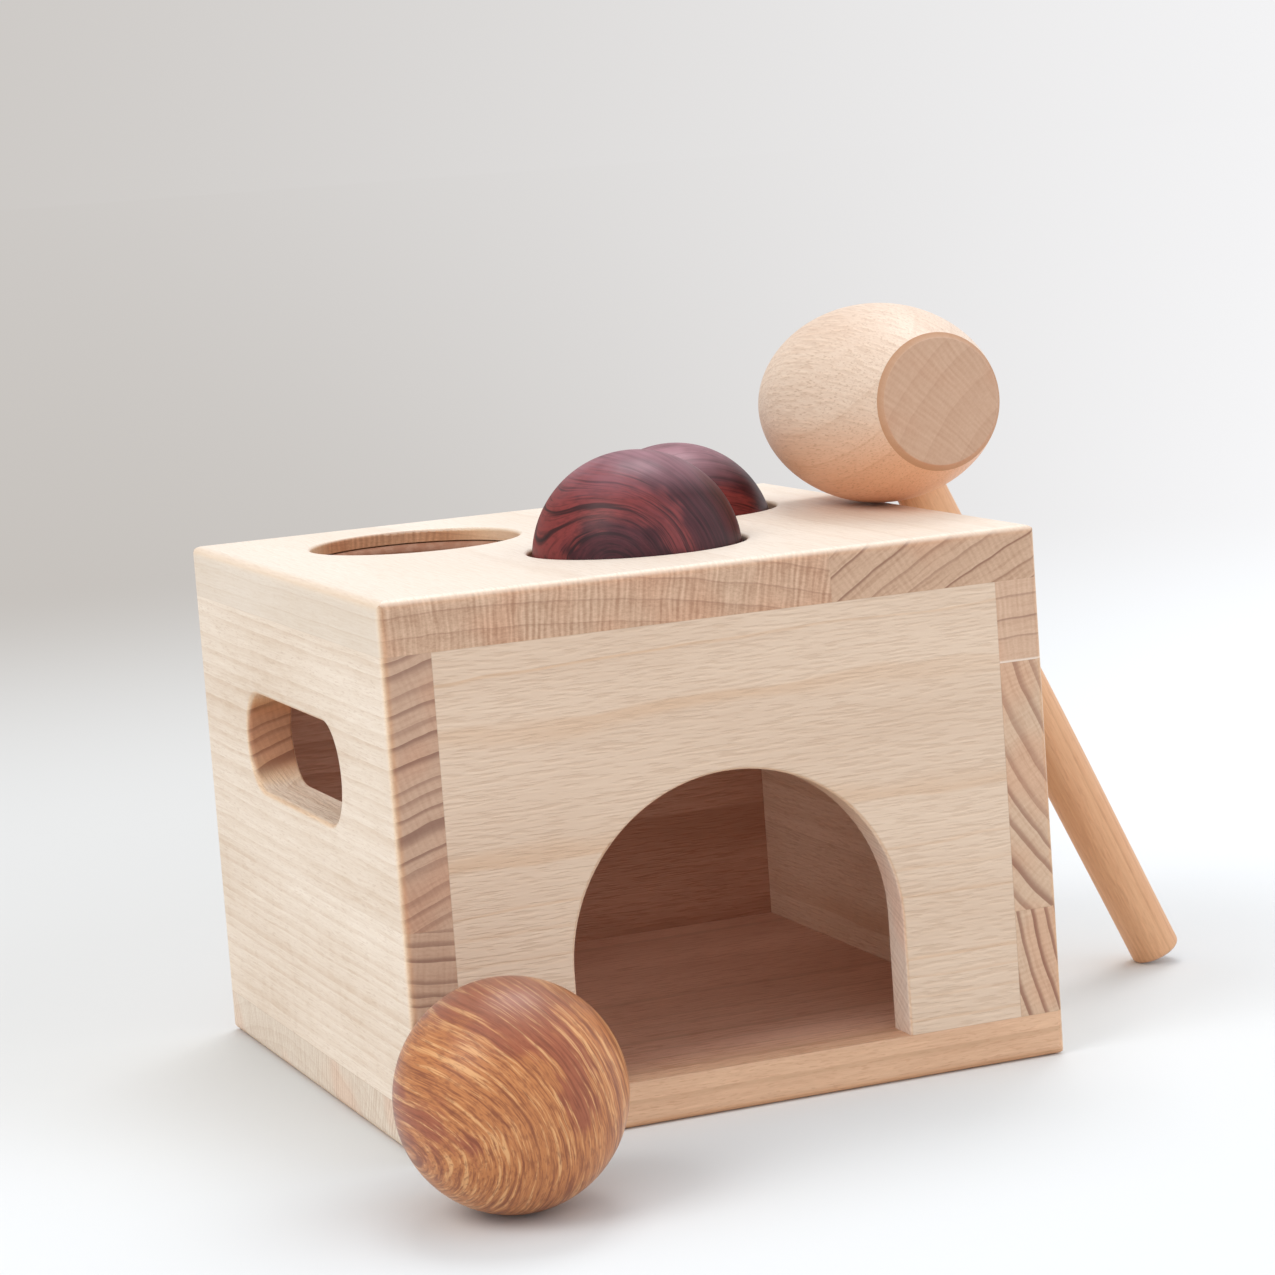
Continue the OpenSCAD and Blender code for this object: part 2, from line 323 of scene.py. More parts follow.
class LogPlace(NodeGroup):
    """Where a point of the wood stood in its log, in millimetres, with the log's own wander.

    The log's axis is Z, and the middle of the piece lies along +X from the pith. Radius is
    the distance from the pith, Arc the way round it at the piece's middle, and Along the
    way up the trunk.
    """

    title = "log_place"
    takes = ports(vectors="Place, Normal, Pith, Turn", numbers="Pith Distance, Sway, Seed")
    gives = ports(vectors="Log", numbers="Radius, Arc, Along, End Grain, Quarter Grain")
    SLOW_WAVE: ClassVar[Triple] = (60.0, 60.0, 240.0)
    SLOW_GAIN: ClassVar[float] = 2.0
    QUICK_WAVE: ClassVar[Triple] = (7.0, 7.0, 30.0)
    QUICK_SWAY: ClassVar[float] = 1.0
    MIDDLE: ClassVar[Triple] = (NOISE_MIDDLE,) * 3
    END_SPAN: ClassVar[Span] = (0.45, 0.9)
    QUARTER_SPAN: ClassVar[Span] = (0.5, 0.95)

    def draw(self, sheet: Sheet, given: dict[str, Socket]) -> dict[str, Socket]:
        """Turns the place into the log and adds two noises of wander across the grain.

        Args:
            sheet: the group's tree.
            given: the group's inputs by name.

        Returns:
            The place in the log and how the surface is cut there.
        """
        offset = sheet.arrow("SUBTRACT", given["Place"], given["Pith"])
        raw = log = sheet.scaled(sheet.turned(offset, given["Turn"]), 1.0 / MM)
        slow_sway = sheet.times(given["Sway"], self.SLOW_GAIN)
        for wave, sway in ((self.SLOW_WAVE, slow_sway), (self.QUICK_WAVE, self.QUICK_SWAY)):
            wander = sheet.noise(sheet.cells(raw, wave, given["Seed"]), detail=1.5, output="Color")
            swing = sheet.scaled(sheet.arrow("SUBTRACT", wander, self.MIDDLE), sway)
            log = sheet.arrow("ADD", log, sheet.levelled(swing))
        flat = sheet.levelled(log)
        x, y, along = sheet.parts(log)
        facing = sheet.turned(given["Normal"], given["Turn"])
        tangent = sheet.arrow("NORMALIZE", sheet.arrow("CROSS_PRODUCT", (0.0, 0.0, 1.0), flat))
        end = sheet.sum("ABSOLUTE", sheet.parts(facing)[2])
        quarter = sheet.sum("ABSOLUTE", sheet.arrow("DOT_PRODUCT", facing, tangent))
        return {
            "Log": log,
            "Radius": sheet.arrow("LENGTH", flat),
            "Arc": sheet.times(sheet.sum("ARCTAN2", y, x), given["Pith Distance"]),
            "Along": along,
            "End Grain": sheet.step(end, *self.END_SPAN),
            "Quarter Grain": sheet.step(quarter, *self.QUARTER_SPAN),
        }


class YearRings(NodeGroup):
    """Year rings round the pith: each grows darker outwards and ends in a thin late line.

    The ring's count is the radius over the ring width plus slow noise, so rings differ in
    width. Its share inside the ring gives the season, and its whole part how dark the line is.
    """

    title = "year_rings"
    takes = ports(numbers="Radius, Ring Width, Unevenness, Line Share, Seed")
    gives = ports(numbers="Late Line, Season")
    SLOWNESS: ClassVar[float] = 0.45
    WIDEST_SWING: ClassVar[float] = 3.0
    FAINTEST: ClassVar[float] = 0.4
    LINE_END: ClassVar[float] = 0.96
    FULL_SHARE: ClassVar[float] = 0.2
    SEASON_POWER: ClassVar[float] = 1.6

    def draw(self, sheet: Sheet, given: dict[str, Socket]) -> dict[str, Socket]:
        """Counts the rings along the radius.

        Args:
            sheet: the group's tree.
            given: the group's inputs by name.

        Returns:
            The late line and the season.
        """
        plain = sheet.sum("DIVIDE", given["Radius"], given["Ring Width"])
        slow = sheet.ripple(sheet.line(plain, self.SLOWNESS, given["Seed"]), detail=1.0)
        count = sheet.swing(slow, sheet.times(given["Unevenness"], self.WIDEST_SWING), plain)
        share = sheet.sum("FRACT", count)
        whole = sheet.sum("ADD", sheet.sum("FLOOR", count), given["Seed"])
        chance = sheet.node("ShaderNodeTexWhiteNoise", {"W": whole}, noise_dimensions="1D")
        strength = sheet.line(chance.outputs["Value"], 1.0 - self.FAINTEST, self.FAINTEST)
        start = sheet.sum("SUBTRACT", self.LINE_END, given["Line Share"])
        full = sheet.line(given["Line Share"], -self.FULL_SHARE, self.LINE_END)
        fall = sheet.step(share, 1.0, self.LINE_END)
        season = sheet.sum("POWER", share, self.SEASON_POWER)
        return {
            "Late Line": sheet.times(sheet.step(share, start, full), fall, strength),
            "Season": sheet.times(season, fall),
        }


class WoodRays(NodeGroup):
    """Rays: thin upright plates that run out from the pith.

    The rays are noise that is thin round the pith, long outwards and a few millimetres tall
    along the grain. So a face cut along the rings shows them as short dark crests, each with
    a painted highlight on its lower edge, and a face cut through the pith as broad plates. On
    end grain they are fine stripes: a sine of the way round, whose phase and strength wander.
    """

    title = "wood_rays"
    takes = ports(numbers="Radius, Arc, Along, Ray Spacing, Seed")
    gives = ports(numbers="Crest, Lit, Plate, Ray")
    FLECK: ClassVar[Triple] = (0.62, 22.0, 7.0)
    LIT_STEP: ClassVar[Triple] = (0.42, 0.0, 0.0)
    RAY: ClassVar[Triple] = (0.75, 10.0, 9.0)
    WANDER: ClassVar[Triple] = (3.5, 16.0, 20.0)
    STRIPE: ClassVar[float] = 1.45
    CREST_SPAN: ClassVar[Span] = (0.47, 0.68)
    PLATE_SPAN: ClassVar[Span] = (0.36, 0.64)
    PHASE_WANDER: ClassVar[float] = 7.0
    STRONG_SPAN: ClassVar[Span] = (0.35, 0.60)
    STRENGTHS: ClassVar[Slope] = (0.20, 0.08)
    RAY_GAIN: ClassVar[float] = 1.5

    def draw(self, sheet: Sheet, given: dict[str, Socket]) -> dict[str, Socket]:
        """Keeps the crests of one noise as flecks, and adds a wandering sine to another as rays.

        Args:
            sheet: the group's tree.
            given: the group's inputs by name.

        Returns:
            The crests and the painted highlights on their lower edges, the plates and the rays.
        """
        arc = sheet.sum("DIVIDE", given["Arc"], given["Ray Spacing"])
        cell = sheet.joined(arc, given["Radius"], given["Along"])
        above = sheet.arrow("SUBTRACT", cell, self.LIT_STEP)
        fleck, fleck_above, ray = (
            sheet.noise(sheet.cells(place, size, given["Seed"]), detail=1.5, roughness=0.6)
            for place, size in ((cell, self.FLECK), (above, self.FLECK), (cell, self.RAY))
        )
        wander = sheet.noise(sheet.cells(cell, self.WANDER, given["Seed"]), detail=1.0, roughness=0.6)
        crest, crest_above = (sheet.step(noise, *self.CREST_SPAN) for noise in (fleck, fleck_above))
        turns = sheet.times(arc, 2 * math.pi / self.STRIPE)
        phase = sheet.line(wander, self.PHASE_WANDER, turns)
        strength = sheet.line(sheet.step(wander, *self.STRONG_SPAN), *self.STRENGTHS)
        stripe = sheet.line(sheet.sum("SINE", phase), strength, NOISE_MIDDLE)
        return {
            "Crest": crest,
            # Lit is a painted highlight: paler where a crest lies just above and not here.
            "Lit": sheet.sum("MAXIMUM", sheet.sum("SUBTRACT", crest_above, crest), 0.0),
            "Plate": sheet.step(fleck, *self.PLATE_SPAN),
            "Ray": sheet.swing(ray, self.RAY_GAIN, stripe),
        }


class Fibres(NodeGroup):
    """The fine run of the fibres: long soft streaks and short dark vessel marks."""

    title = "fibres"
    takes = ports(vectors="Log", numbers="Seed")
    gives = ports(numbers="Streak, Vessel, Cloud")
    THREAD: ClassVar[Triple] = (0.5, 0.5, 14.0)
    VESSELS_A_THREAD: ClassVar[Triple] = (1.6, 1.6, 5.5)
    VESSEL_SPAN: ClassVar[Span] = (0.55, 0.70)
    CLOUD: ClassVar[Triple] = (22.0, 22.0, 90.0)

    def draw(self, sheet: Sheet, given: dict[str, Socket]) -> dict[str, Socket]:
        """Stretches noise along the grain at three sizes.

        Args:
            sheet: the group's tree.
            given: the group's inputs by name.

        Returns:
            The streaks, the vessels and the clouds.
        """
        thread = sheet.cells(given["Log"], self.THREAD, given["Seed"])
        vessel = sheet.noise(sheet.arrow("MULTIPLY", thread, self.VESSELS_A_THREAD), detail=1.0)
        return {
            "Streak": sheet.noise(thread, detail=3.0, roughness=0.6),
            "Vessel": sheet.step(vessel, *self.VESSEL_SPAN),
            "Cloud": sheet.noise(sheet.cells(given["Log"], self.CLOUD, given["Seed"]), detail=1.0),
        }


class BeechGrain(NodeGroup):
    """Sanded beech: rings, rays and fibres of one log as colour, roughness and height."""

    title = "beech_grain"
    takes = ports(
        vectors="Place, Normal, Pith, Turn",
        colours="Light, Dark, Line, Fleck, End Light, End Dark, End Line",
        numbers="Pith Distance, Ring Width, Sway, Unevenness, Line Share, Ray Spacing, Seed, "
                "Line Strength, Fleck Strength, End Line Strength, Ray Strength, Pore Strength",
    )
    gives = ports(colours="Colour", numbers="Roughness, Height, End Grain")
    STREAK_DARK: ClassVar[Slope] = (1.3, 0.35)
    CLOUD_DARK: ClassVar[float] = 1.2
    SEASON_DARK: ClassVar[float] = 0.25
    PATCHY_LINE: ClassVar[Slope] = (2.0, 0.8)
    QUARTER_LOSS: ClassVar[float] = 0.8
    PAINTED_HIGHLIGHT_TINT: ClassVar[Colour] = shade(1.22, 1.22, 1.22)
    FLAKE_SHARE: ClassVar[float] = 0.25
    LONG_HEIGHT: ClassVar[Slope] = (0.25, 0.7)
    FLECK_DEPTH: ClassVar[float] = 0.7
    HATCH: ClassVar[Triple] = (0.9, 0.4, 4.0)
    HATCH_GAIN: ClassVar[Slope] = (0.8, 0.4)
    GROWTH: ClassVar[Triple] = (14.0, 0.9, 60.0)
    GROWTH_SPAN: ClassVar[Span] = (0.50, 0.68)
    END_PALE: ClassVar[float] = 0.6
    END_LOSS: ClassVar[float] = 0.25
    RUDDY_SPAN: ClassVar[Span] = (0.50, 0.66)
    RUDDY_SHARE: ClassVar[float] = 0.7
    RUDDY_TINT: ClassVar[Colour] = shade(1.0, 0.86, 0.80)
    END_HEIGHT: ClassVar[Slope] = (0.3, 0.3)
    END_LINE_DEPTH: ClassVar[float] = 0.3
    STREAK_ROUGH: ClassVar[Slope] = (0.25, 0.50)
    END_ROUGH: ClassVar[float] = 0.12

    def draw(self, sheet: Sheet, given: dict[str, Socket]) -> dict[str, Socket]:
        """Works out the long faces and the end grain, and mixes them by how the face is cut.

        Args:
            sheet: the group's tree.
            given: the group's inputs by name.

        Returns:
            The colour, roughness and height, and the share of end grain.
        """
        found = {**given, **LogPlace().place(sheet, given)}
        for group in (YearRings(), WoodRays(), Fibres()):
            found |= group.place(sheet, found)
        long_colour, long_height = self.long_faces(sheet, found)
        end_colour, end_height = self.end_faces(sheet, found)
        end = found["End Grain"]
        rough = sheet.swing(found["Streak"], *self.STREAK_ROUGH)
        return {
            "Colour": sheet.mix(end, long_colour, end_colour),
            "Roughness": sheet.line(end, self.END_ROUGH, rough),
            "Height": sheet.line(sheet.sum("SUBTRACT", end_height, long_height), end, long_height),
            "End Grain": end,
        }

    def long_faces(self, sheet: Sheet, found: dict[str, Socket]) -> tuple[Socket, Socket]:
        """Lays streaks, late lines, flecks with painted highlights on their edges, pores and flakes over
        each other.

        Args:
            sheet: the group's tree.
            found: its inputs, and what the smaller groups gave.

        Returns:
            The colour and the height.
        """
        dark = sheet.swing(found["Cloud"], self.CLOUD_DARK, sheet.swing(found["Streak"], *self.STREAK_DARK))
        dark = sheet.clamped(sheet.line(found["Season"], self.SEASON_DARK, dark))
        colour = sheet.mix(dark, found["Light"], found["Dark"])
        patchy = sheet.swing(found["Cloud"], *self.PATCHY_LINE)
        line = sheet.times(found["Late Line"], sheet.times(found["Line Strength"], patchy))
        colour = sheet.mix(line, colour, found["Line"])
        flat_cut = sheet.line(found["Quarter Grain"], -self.QUARTER_LOSS, 1.0)
        fleck = sheet.times(found["Crest"], flat_cut)
        colour = sheet.mix(sheet.times(fleck, found["Fleck Strength"]), colour, found["Fleck"])
        # Painted highlight: the lower edge of each fleck is made paler.
        lit = sheet.times(found["Lit"], flat_cut, found["Fleck Strength"])
        colour = sheet.tinted(lit, colour, self.PAINTED_HIGHLIGHT_TINT)
        pore = sheet.times(found["Vessel"], found["Pore Strength"])
        colour = sheet.mix(pore, colour, found["Fleck"])
        flake = sheet.times(found["Plate"], found["Quarter Grain"], self.FLAKE_SHARE)
        colour = sheet.mix(flake, colour, found["Light"])
        height = sheet.line(found["Streak"], *self.LONG_HEIGHT)
        return colour, sheet.line(fleck, -self.FLECK_DEPTH, height)

    def end_faces(self, sheet: Sheet, found: dict[str, Socket]) -> tuple[Socket, Socket]:
        """Lays rays and short cross marks, faint growth lines and late lines over each other.

        The cross marks are fine ticks along the rings, and the growth lines are the faint ones
        between the year rings.

        Args:
            sheet: the group's tree.
            found: its inputs, and what the smaller groups gave.

        Returns:
            The colour and the height.
        """
        place = sheet.joined(found["Arc"], found["Radius"], found["Along"])
        hatch = sheet.noise(sheet.cells(place, self.HATCH, found["Seed"]), detail=2.0, roughness=0.7)
        growth = sheet.noise(sheet.cells(place, self.GROWTH, found["Seed"]), detail=1.0)
        ray = sheet.swing(found["Ray"], found["Ray Strength"])
        pale = sheet.swing(hatch, sheet.line(found["Ray Strength"], *self.HATCH_GAIN), ray)
        pale = sheet.line(found["Season"], -self.END_LOSS, sheet.sum("ADD", pale, self.END_PALE))
        minor = sheet.times(sheet.step(growth, *self.GROWTH_SPAN), found["End Line Strength"])
        pale = sheet.clamped(sheet.line(minor, -self.END_LOSS, pale))
        colour = sheet.mix(pale, found["End Dark"], found["End Light"])
        line = sheet.times(found["Late Line"], found["End Line Strength"])
        colour = sheet.mix(line, colour, found["End Line"])
        ruddy = sheet.times(sheet.step(found["Cloud"], *self.RUDDY_SPAN), self.RUDDY_SHARE)
        colour = sheet.tinted(ruddy, colour, self.RUDDY_TINT)
        return colour, sheet.line(line, -self.END_LINE_DEPTH, sheet.line(pale, *self.END_HEIGHT))


class SurfaceTone(NodeGroup):
    """Tones laid on a piece: warmer rounded edges, a top made paler as painted light, a belly
    made warmer, partly as the wood's own tone and partly as painted bounce light, and a darker rim.

    The rim is the chamfer of a turned end, where the surface is halfway to end grain.
    """

    title = "surface_tone"
    takes = ports(
        vectors="Normal", colours="Colour",
        numbers="Roughness, End Grain, Edge Strength, Top Strength, Belly Strength, Rim Strength",
    )
    gives = ports(colours="Colour", numbers="Roughness")
    EDGE_TINT: ClassVar[Colour] = shade(1.0, 0.87, 0.72)
    EDGE_SPAN: ClassVar[Span] = (0.995, 0.80)
    EDGE_POLISH: ClassVar[float] = 0.12
    PAINTED_TOP_COLOUR: ClassVar[Colour] = shade(0.92, 0.86, 0.80)
    TOP_SPAN: ClassVar[Span] = (0.35, 0.85)
    BELLY_TONE_AND_BOUNCE_TINT: ClassVar[Colour] = shade(1.0, 0.62, 0.40)
    BELLY_SPAN: ClassVar[Span] = (0.1, -0.85)
    RIM_COLOUR: ClassVar[Colour] = shade(0.46, 0.22, 0.10)
    RIM_SPAN: ClassVar[Span] = (0.45, 0.95)

    def draw(self, sheet: Sheet, given: dict[str, Socket]) -> dict[str, Socket]:
        """Takes the largest part of the normal as how flat the place is, and its Z as up.

        With a share e of end grain, 4 e (1 - e) is how near the place is to halfway.

        Args:
            sheet: the group's tree.
            given: the group's inputs by name.

        Returns:
            The toned colour and the roughness.
        """
        x, y, z = sheet.parts(sheet.arrow("ABSOLUTE", given["Normal"]))
        upward = sheet.parts(given["Normal"])[2]
        largest = sheet.sum("MAXIMUM", sheet.sum("MAXIMUM", x, y), z)
        edge = sheet.times(sheet.step(largest, *self.EDGE_SPAN), given["Edge Strength"])
        # Painted light: upward faces are mixed towards a paler colour.
        top = sheet.times(sheet.step(upward, *self.TOP_SPAN), given["Top Strength"])
        # Partly the wood's own tone, partly painted bounce light: downward faces are tinted warmer.
        belly = sheet.times(sheet.step(upward, *self.BELLY_SPAN), given["Belly Strength"])
        colour = sheet.tinted(edge, given["Colour"], self.EDGE_TINT)
        colour = sheet.mix(top, colour, self.PAINTED_TOP_COLOUR)
        colour = sheet.tinted(belly, colour, self.BELLY_TONE_AND_BOUNCE_TINT)
        half_way = sheet.times(given["End Grain"], sheet.sum("SUBTRACT", 1.0, given["End Grain"]), 4.0)
        rim = sheet.times(sheet.step(half_way, *self.RIM_SPAN), given["Rim Strength"])
        return {
            "Colour": sheet.mix(rim, colour, self.RIM_COLOUR),
            "Roughness": sheet.line(edge, -self.EDGE_POLISH, given["Roughness"]),
        }


class BoardJoint(NodeGroup):
    """A thin glue line where a board ends against its neighbour, and the warm walls cut in it.

    A point is on the line when it is closer than the width to one of the six planes of the
    line's box, and its face isn't that plane itself. It is on a cut wall, such as a hole's
    or a slot's, when it doesn't lie on any of the six planes of the board's own box or on
    their rounded edges, and doesn't face up, as a sill does.
    """

    title = "board_joint"
    takes = ports(
        vectors="Place, Normal, Line Low, Line High, Box Low, Box High", colours="Colour, Joint",
        numbers="Joint Strength, Joint Width, Cut Strength",
    )
    gives = ports(colours="Colour")
    FULL_SHARE: ClassVar[float] = 0.3
    ASIDE_SPAN: ClassVar[Span] = (0.30, 0.05)
    EDGE_SPAN: ClassVar[Span] = (2.4 * MM, 1.2 * MM)
    FACING_SPAN: ClassVar[Span] = (0.3, 0.6)
    FACING_UP_SPAN: ClassVar[Span] = (0.8, 0.1)
    CUT_TINT: ClassVar[Colour] = shade(1.0, 0.80, 0.62)

    def draw(self, sheet: Sheet, given: dict[str, Socket]) -> dict[str, Socket]:
        """Measures the way to the nearest plane along each axis.

        Args:
            sheet: the group's tree.
            given: the group's inputs by name.

        Returns:
            The colour with its lines and walls.
        """
        facings = sheet.parts(sheet.arrow("ABSOLUTE", given["Normal"]))
        core = sheet.times(given["Joint Width"], self.FULL_SHARE)
        line_ways = self.ways(sheet, given["Place"], given["Line Low"], given["Line High"])
        box_ways = self.ways(sheet, given["Place"], given["Box Low"], given["Box High"])
        joint: Feed = 0.0
        flat: Feed = 0.0
        for line_way, box_way, facing in zip(line_ways, box_ways, facings):
            near = sheet.step(line_way, given["Joint Width"], core)
            aside = sheet.times(near, sheet.step(facing, *self.ASIDE_SPAN))
            joint = sheet.sum("MAXIMUM", joint, aside)
            on_plane = sheet.times(
                sheet.step(box_way, *self.EDGE_SPAN), sheet.step(facing, *self.FACING_SPAN),
            )
            flat = sheet.sum("MAXIMUM", flat, on_plane)
        not_facing_up = sheet.step(sheet.parts(given["Normal"])[2], *self.FACING_UP_SPAN)
        cut = sheet.times(sheet.sum("SUBTRACT", 1.0, flat), given["Cut Strength"], not_facing_up)
        colour = sheet.tinted(cut, given["Colour"], self.CUT_TINT)
        return {"Colour": sheet.mix(sheet.times(joint, given["Joint Strength"]), colour, given["Joint"])}

    @staticmethod
    def ways(sheet: Sheet, place: Feed, low: Feed, high: Feed) -> tuple[Socket, Socket, Socket]:
        """Measures from a place to the nearer of a box's two planes, along each axis.

        Args:
            sheet: the group's tree.
            place: the place.
            low: the box's low corner.
            high: the box's high corner.

        Returns:
            The way along each axis, which is negative outside the box.
        """
        from_low = sheet.arrow("SUBTRACT", place, low)
        from_high = sheet.arrow("SUBTRACT", high, place)
        return sheet.parts(sheet.arrow("MINIMUM", from_low, from_high))


class PaintedCavityLight(NodeGroup):
    """Painted light and shade inside a box, which fades out over its sill.

    The tint is darker and redder for the shade in the chamber on most boards, and lighter on
    some. The corners are those of the chamber, and the reach is how far the tone goes past
    them. Only the low Y side fades softly, over the sill, because the doorway is there.
    """

    title = "painted_cavity_light"
    takes = ports(vectors="Place, Room Low, Room High", colours="Colour, Inside Tint")
    gives = ports(colours="Colour")
    REACH: ClassVar[float] = 0.4 * MM
    SILL: ClassVar[float] = 14.0 * MM

    def draw(self, sheet: Sheet, given: dict[str, Socket]) -> dict[str, Socket]:
        """Multiplies six steps, one at each side of the chamber.

        Args:
            sheet: the group's tree.
            given: the group's inputs by name.

        Returns:
            The colour with its tone.
        """
        ways = sheet.parts(sheet.arrow("SUBTRACT", given["Place"], given["Room Low"]))
        backs = sheet.parts(sheet.arrow("SUBTRACT", given["Room High"], given["Place"]))
        steps = [sheet.step(way, -2 * self.REACH, -self.REACH) for way in (ways[0], ways[2], *backs)]
        share = sheet.times(sheet.step(ways[1], -self.SILL, self.SILL), *steps)
        # Painted light and shade: the chamber's walls take the board's inside tint.
        return {"Colour": sheet.tinted(share, given["Colour"], given["Inside Tint"])}


class StreakedGrain(NodeGroup):
    """Polished hardwood with dark and light streaks that follow its rings.

    The streaks are noise that is thin across the rings and long round them and along the
    grain, at three sizes, and short dark strokes lie between them. One side of the piece, at
    a ragged border, has another ground colour, which also comes and goes in bands round the
    pith: a cosine of the radius, whose crest is at the band radius and whose period is twice
    that. A pale painted sheen, a painted reflection, lies on the upper side and on the end grain.
    """

    title = "streaked_grain"
    takes = ports(
        vectors="Place, Normal, Pith, Turn, Middle, Patch Side",
        colours="Ground, Patch, Dark, Light, Haze",
        numbers="Pith Distance, Sway, Seed, Patch Start, Streak Width, Streak Length, Dark Strength, "
                "Light Strength, Hair Strength, Speckle Strength, Band Radius, Band Strength, "
                "Haze Strength, End Haze",
    )
    gives = ports(colours="Colour", numbers="Roughness, Height")
    SIZE_SHARES: ClassVar[tuple[tuple[float, float], ...]] = ((1.0, 1.0), (0.4, 0.45), (0.2, 0.22))
    STROKE_THINNESS: ClassVar[float] = 0.42
    STROKE_LENGTH: ClassVar[float] = 2.4
    STROKE_SPAN: ClassVar[Span] = (0.45, 0.72)
    LENGTHENING: ClassVar[float] = 1.5
    CLOUD_SCALE: ClassVar[float] = 0.09
    RAGGED_STREAKS: ClassVar[float] = 1.8
    RAGGED_CLOUDS: ClassVar[float] = 2.2
    BORDER_SPAN: ClassVar[Span] = (-0.3, 0.3)
    BOTH_SHARE: ClassVar[float] = 0.6
    DARK_SPAN: ClassVar[Span] = (0.60, 0.74)
    LIGHT_SPAN: ClassVar[Span] = (0.58, 0.45)
    HAIR_SPAN: ClassVar[Span] = (0.58, 0.70)
    UPWARD_SPAN: ClassVar[Span] = (0.5, 1.05)
    PAINTED_SHEEN_CLOUDS: ClassVar[Slope] = (1.6, 1.0)
    PAINTED_SHEEN_STREAKS: ClassVar[float] = -1.2
    ROUGH: ClassVar[Slope] = (0.30, 0.24)
    PORE_DEPTH: ClassVar[float] = 0.2

    def draw(self, sheet: Sheet, given: dict[str, Socket]) -> dict[str, Socket]:
        """Mixes the two grounds, lays each kind of streak over them, and then the painted sheen.

        Args:
            sheet: the group's tree.
            given: the group's inputs by name.

        Returns:
            The colour, roughness and height.
        """
        log = LogPlace().place(sheet, given)
        width, length, seed = given["Streak Width"], given["Streak Length"], given["Seed"]
        broad, narrow, hair = (
            self.streaks(sheet, log, sheet.times(width, thin), sheet.times(length, short), seed)
            for thin, short in self.SIZE_SHARES
        )
        stroke_width = sheet.times(width, self.STROKE_THINNESS)
        stroke = self.streaks(sheet, log, stroke_width, self.STROKE_LENGTH, seed)
        cloud = sheet.noise(sheet.scaled(log["Log"], self.CLOUD_SCALE), detail=2.0, roughness=0.6)
        colour = sheet.mix(self.patch(sheet, given, log, broad, cloud), given["Ground"], given["Patch"])
        both = sheet.line(narrow, self.BOTH_SHARE, sheet.times(broad, self.BOTH_SHARE))
        pore = sheet.step(hair, *self.HAIR_SPAN)
        for share, strength, tone in (
            (sheet.step(both, *self.DARK_SPAN), "Dark Strength", "Dark"),
            (sheet.step(both, *self.LIGHT_SPAN), "Light Strength", "Light"),
            (pore, "Hair Strength", "Dark"),
            (sheet.step(stroke, *self.STROKE_SPAN), "Speckle Strength", "Dark"),
        ):
            colour = sheet.mix(sheet.times(share, given[strength]), colour, given[tone])
        # Painted sheen: a pale colour on the upper side and, by a share, on the end grain stands in for
        # reflection.
        upward = sheet.step(sheet.parts(given["Normal"])[2], *self.UPWARD_SPAN)
        upward = sheet.sum("MAXIMUM", upward, sheet.times(log["End Grain"], given["End Haze"]))
        uneven = sheet.swing(narrow, self.PAINTED_SHEEN_STREAKS, sheet.swing(cloud, *self.PAINTED_SHEEN_CLOUDS))
        haze = sheet.clamped(sheet.times(upward, uneven, given["Haze Strength"]))
        return {
            "Colour": sheet.mix(haze, colour, given["Haze"]),
            "Roughness": sheet.line(narrow, *self.ROUGH),
            "Height": sheet.line(pore, -self.PORE_DEPTH, narrow),
        }

    def patch(
        self, sheet: Sheet, given: dict[str, Socket], log: dict[str, Socket], broad: Socket, cloud: Socket,
    ) -> Socket:
        """Works out where the patch colour lies.

        Args:
            sheet: the group's tree.
            given: the group's inputs.
            log: the place in the log.
            broad: the broad streaks, which fray the border.
            cloud: a slow noise, which bends it.

        Returns:
            The share of the patch colour.
        """
        offset = sheet.arrow("SUBTRACT", given["Place"], given["Middle"])
        side = sheet.arrow("DOT_PRODUCT", offset, given["Patch Side"])
        ragged = sheet.swing(cloud, self.RAGGED_CLOUDS, sheet.swing(broad, self.RAGGED_STREAKS, side))
        bands = sheet.sum("DIVIDE", log["Radius"], given["Band Radius"])
        band = sheet.sum("COSINE", sheet.line(bands, math.pi, math.pi))
        ragged = sheet.line(band, given["Band Strength"], ragged)
        return sheet.step(sheet.sum("SUBTRACT", ragged, given["Patch Start"]), *self.BORDER_SPAN)

    def streaks(
        self, sheet: Sheet, log: dict[str, Socket], width: Feed, length: Feed, seed: Feed,
    ) -> Socket:
        """Adds noise that is thin across the rings and long round them and along the grain.

        Args:
            sheet: the group's tree.
            log: the place in the log.
            width: how thick the streaks are across the rings.
            length: how long they are round the rings. Along the grain they are longer.
            seed: where in the noise they are read.

        Returns:
            The noise.
        """
        place = sheet.joined(log["Radius"], log["Arc"], log["Along"])
        size = sheet.joined(width, length, sheet.times(length, self.LENGTHENING))
        return sheet.noise(sheet.cells(place, size, seed), detail=2.0, roughness=0.6)


class Grain(Enum):
    """Which way the grain of a piece runs: the grain, and the two axes across it."""

    WIDTH = ((1.0, 0.0, 0.0), (0.0, 1.0, 0.0), (0.0, 0.0, 1.0))
    DEPTH = ((0.0, 1.0, 0.0), (1.0, 0.0, 0.0), (0.0, 0.0, 1.0))
    HEIGHT = ((0.0, 0.0, 1.0), (1.0, 0.0, 0.0), (0.0, 1.0, 0.0))


@dataclass(frozen=True)
class Piece:
    """The place of a piece for its finish: its box, and how it is turned."""

    low: Vector
    high: Vector
    turn: Matrix = field(default_factory=lambda: Matrix.Identity(3))

    @property
    def middle(self) -> Vector:
        """The middle of the piece's box."""
        return (self.low + self.high) / 2


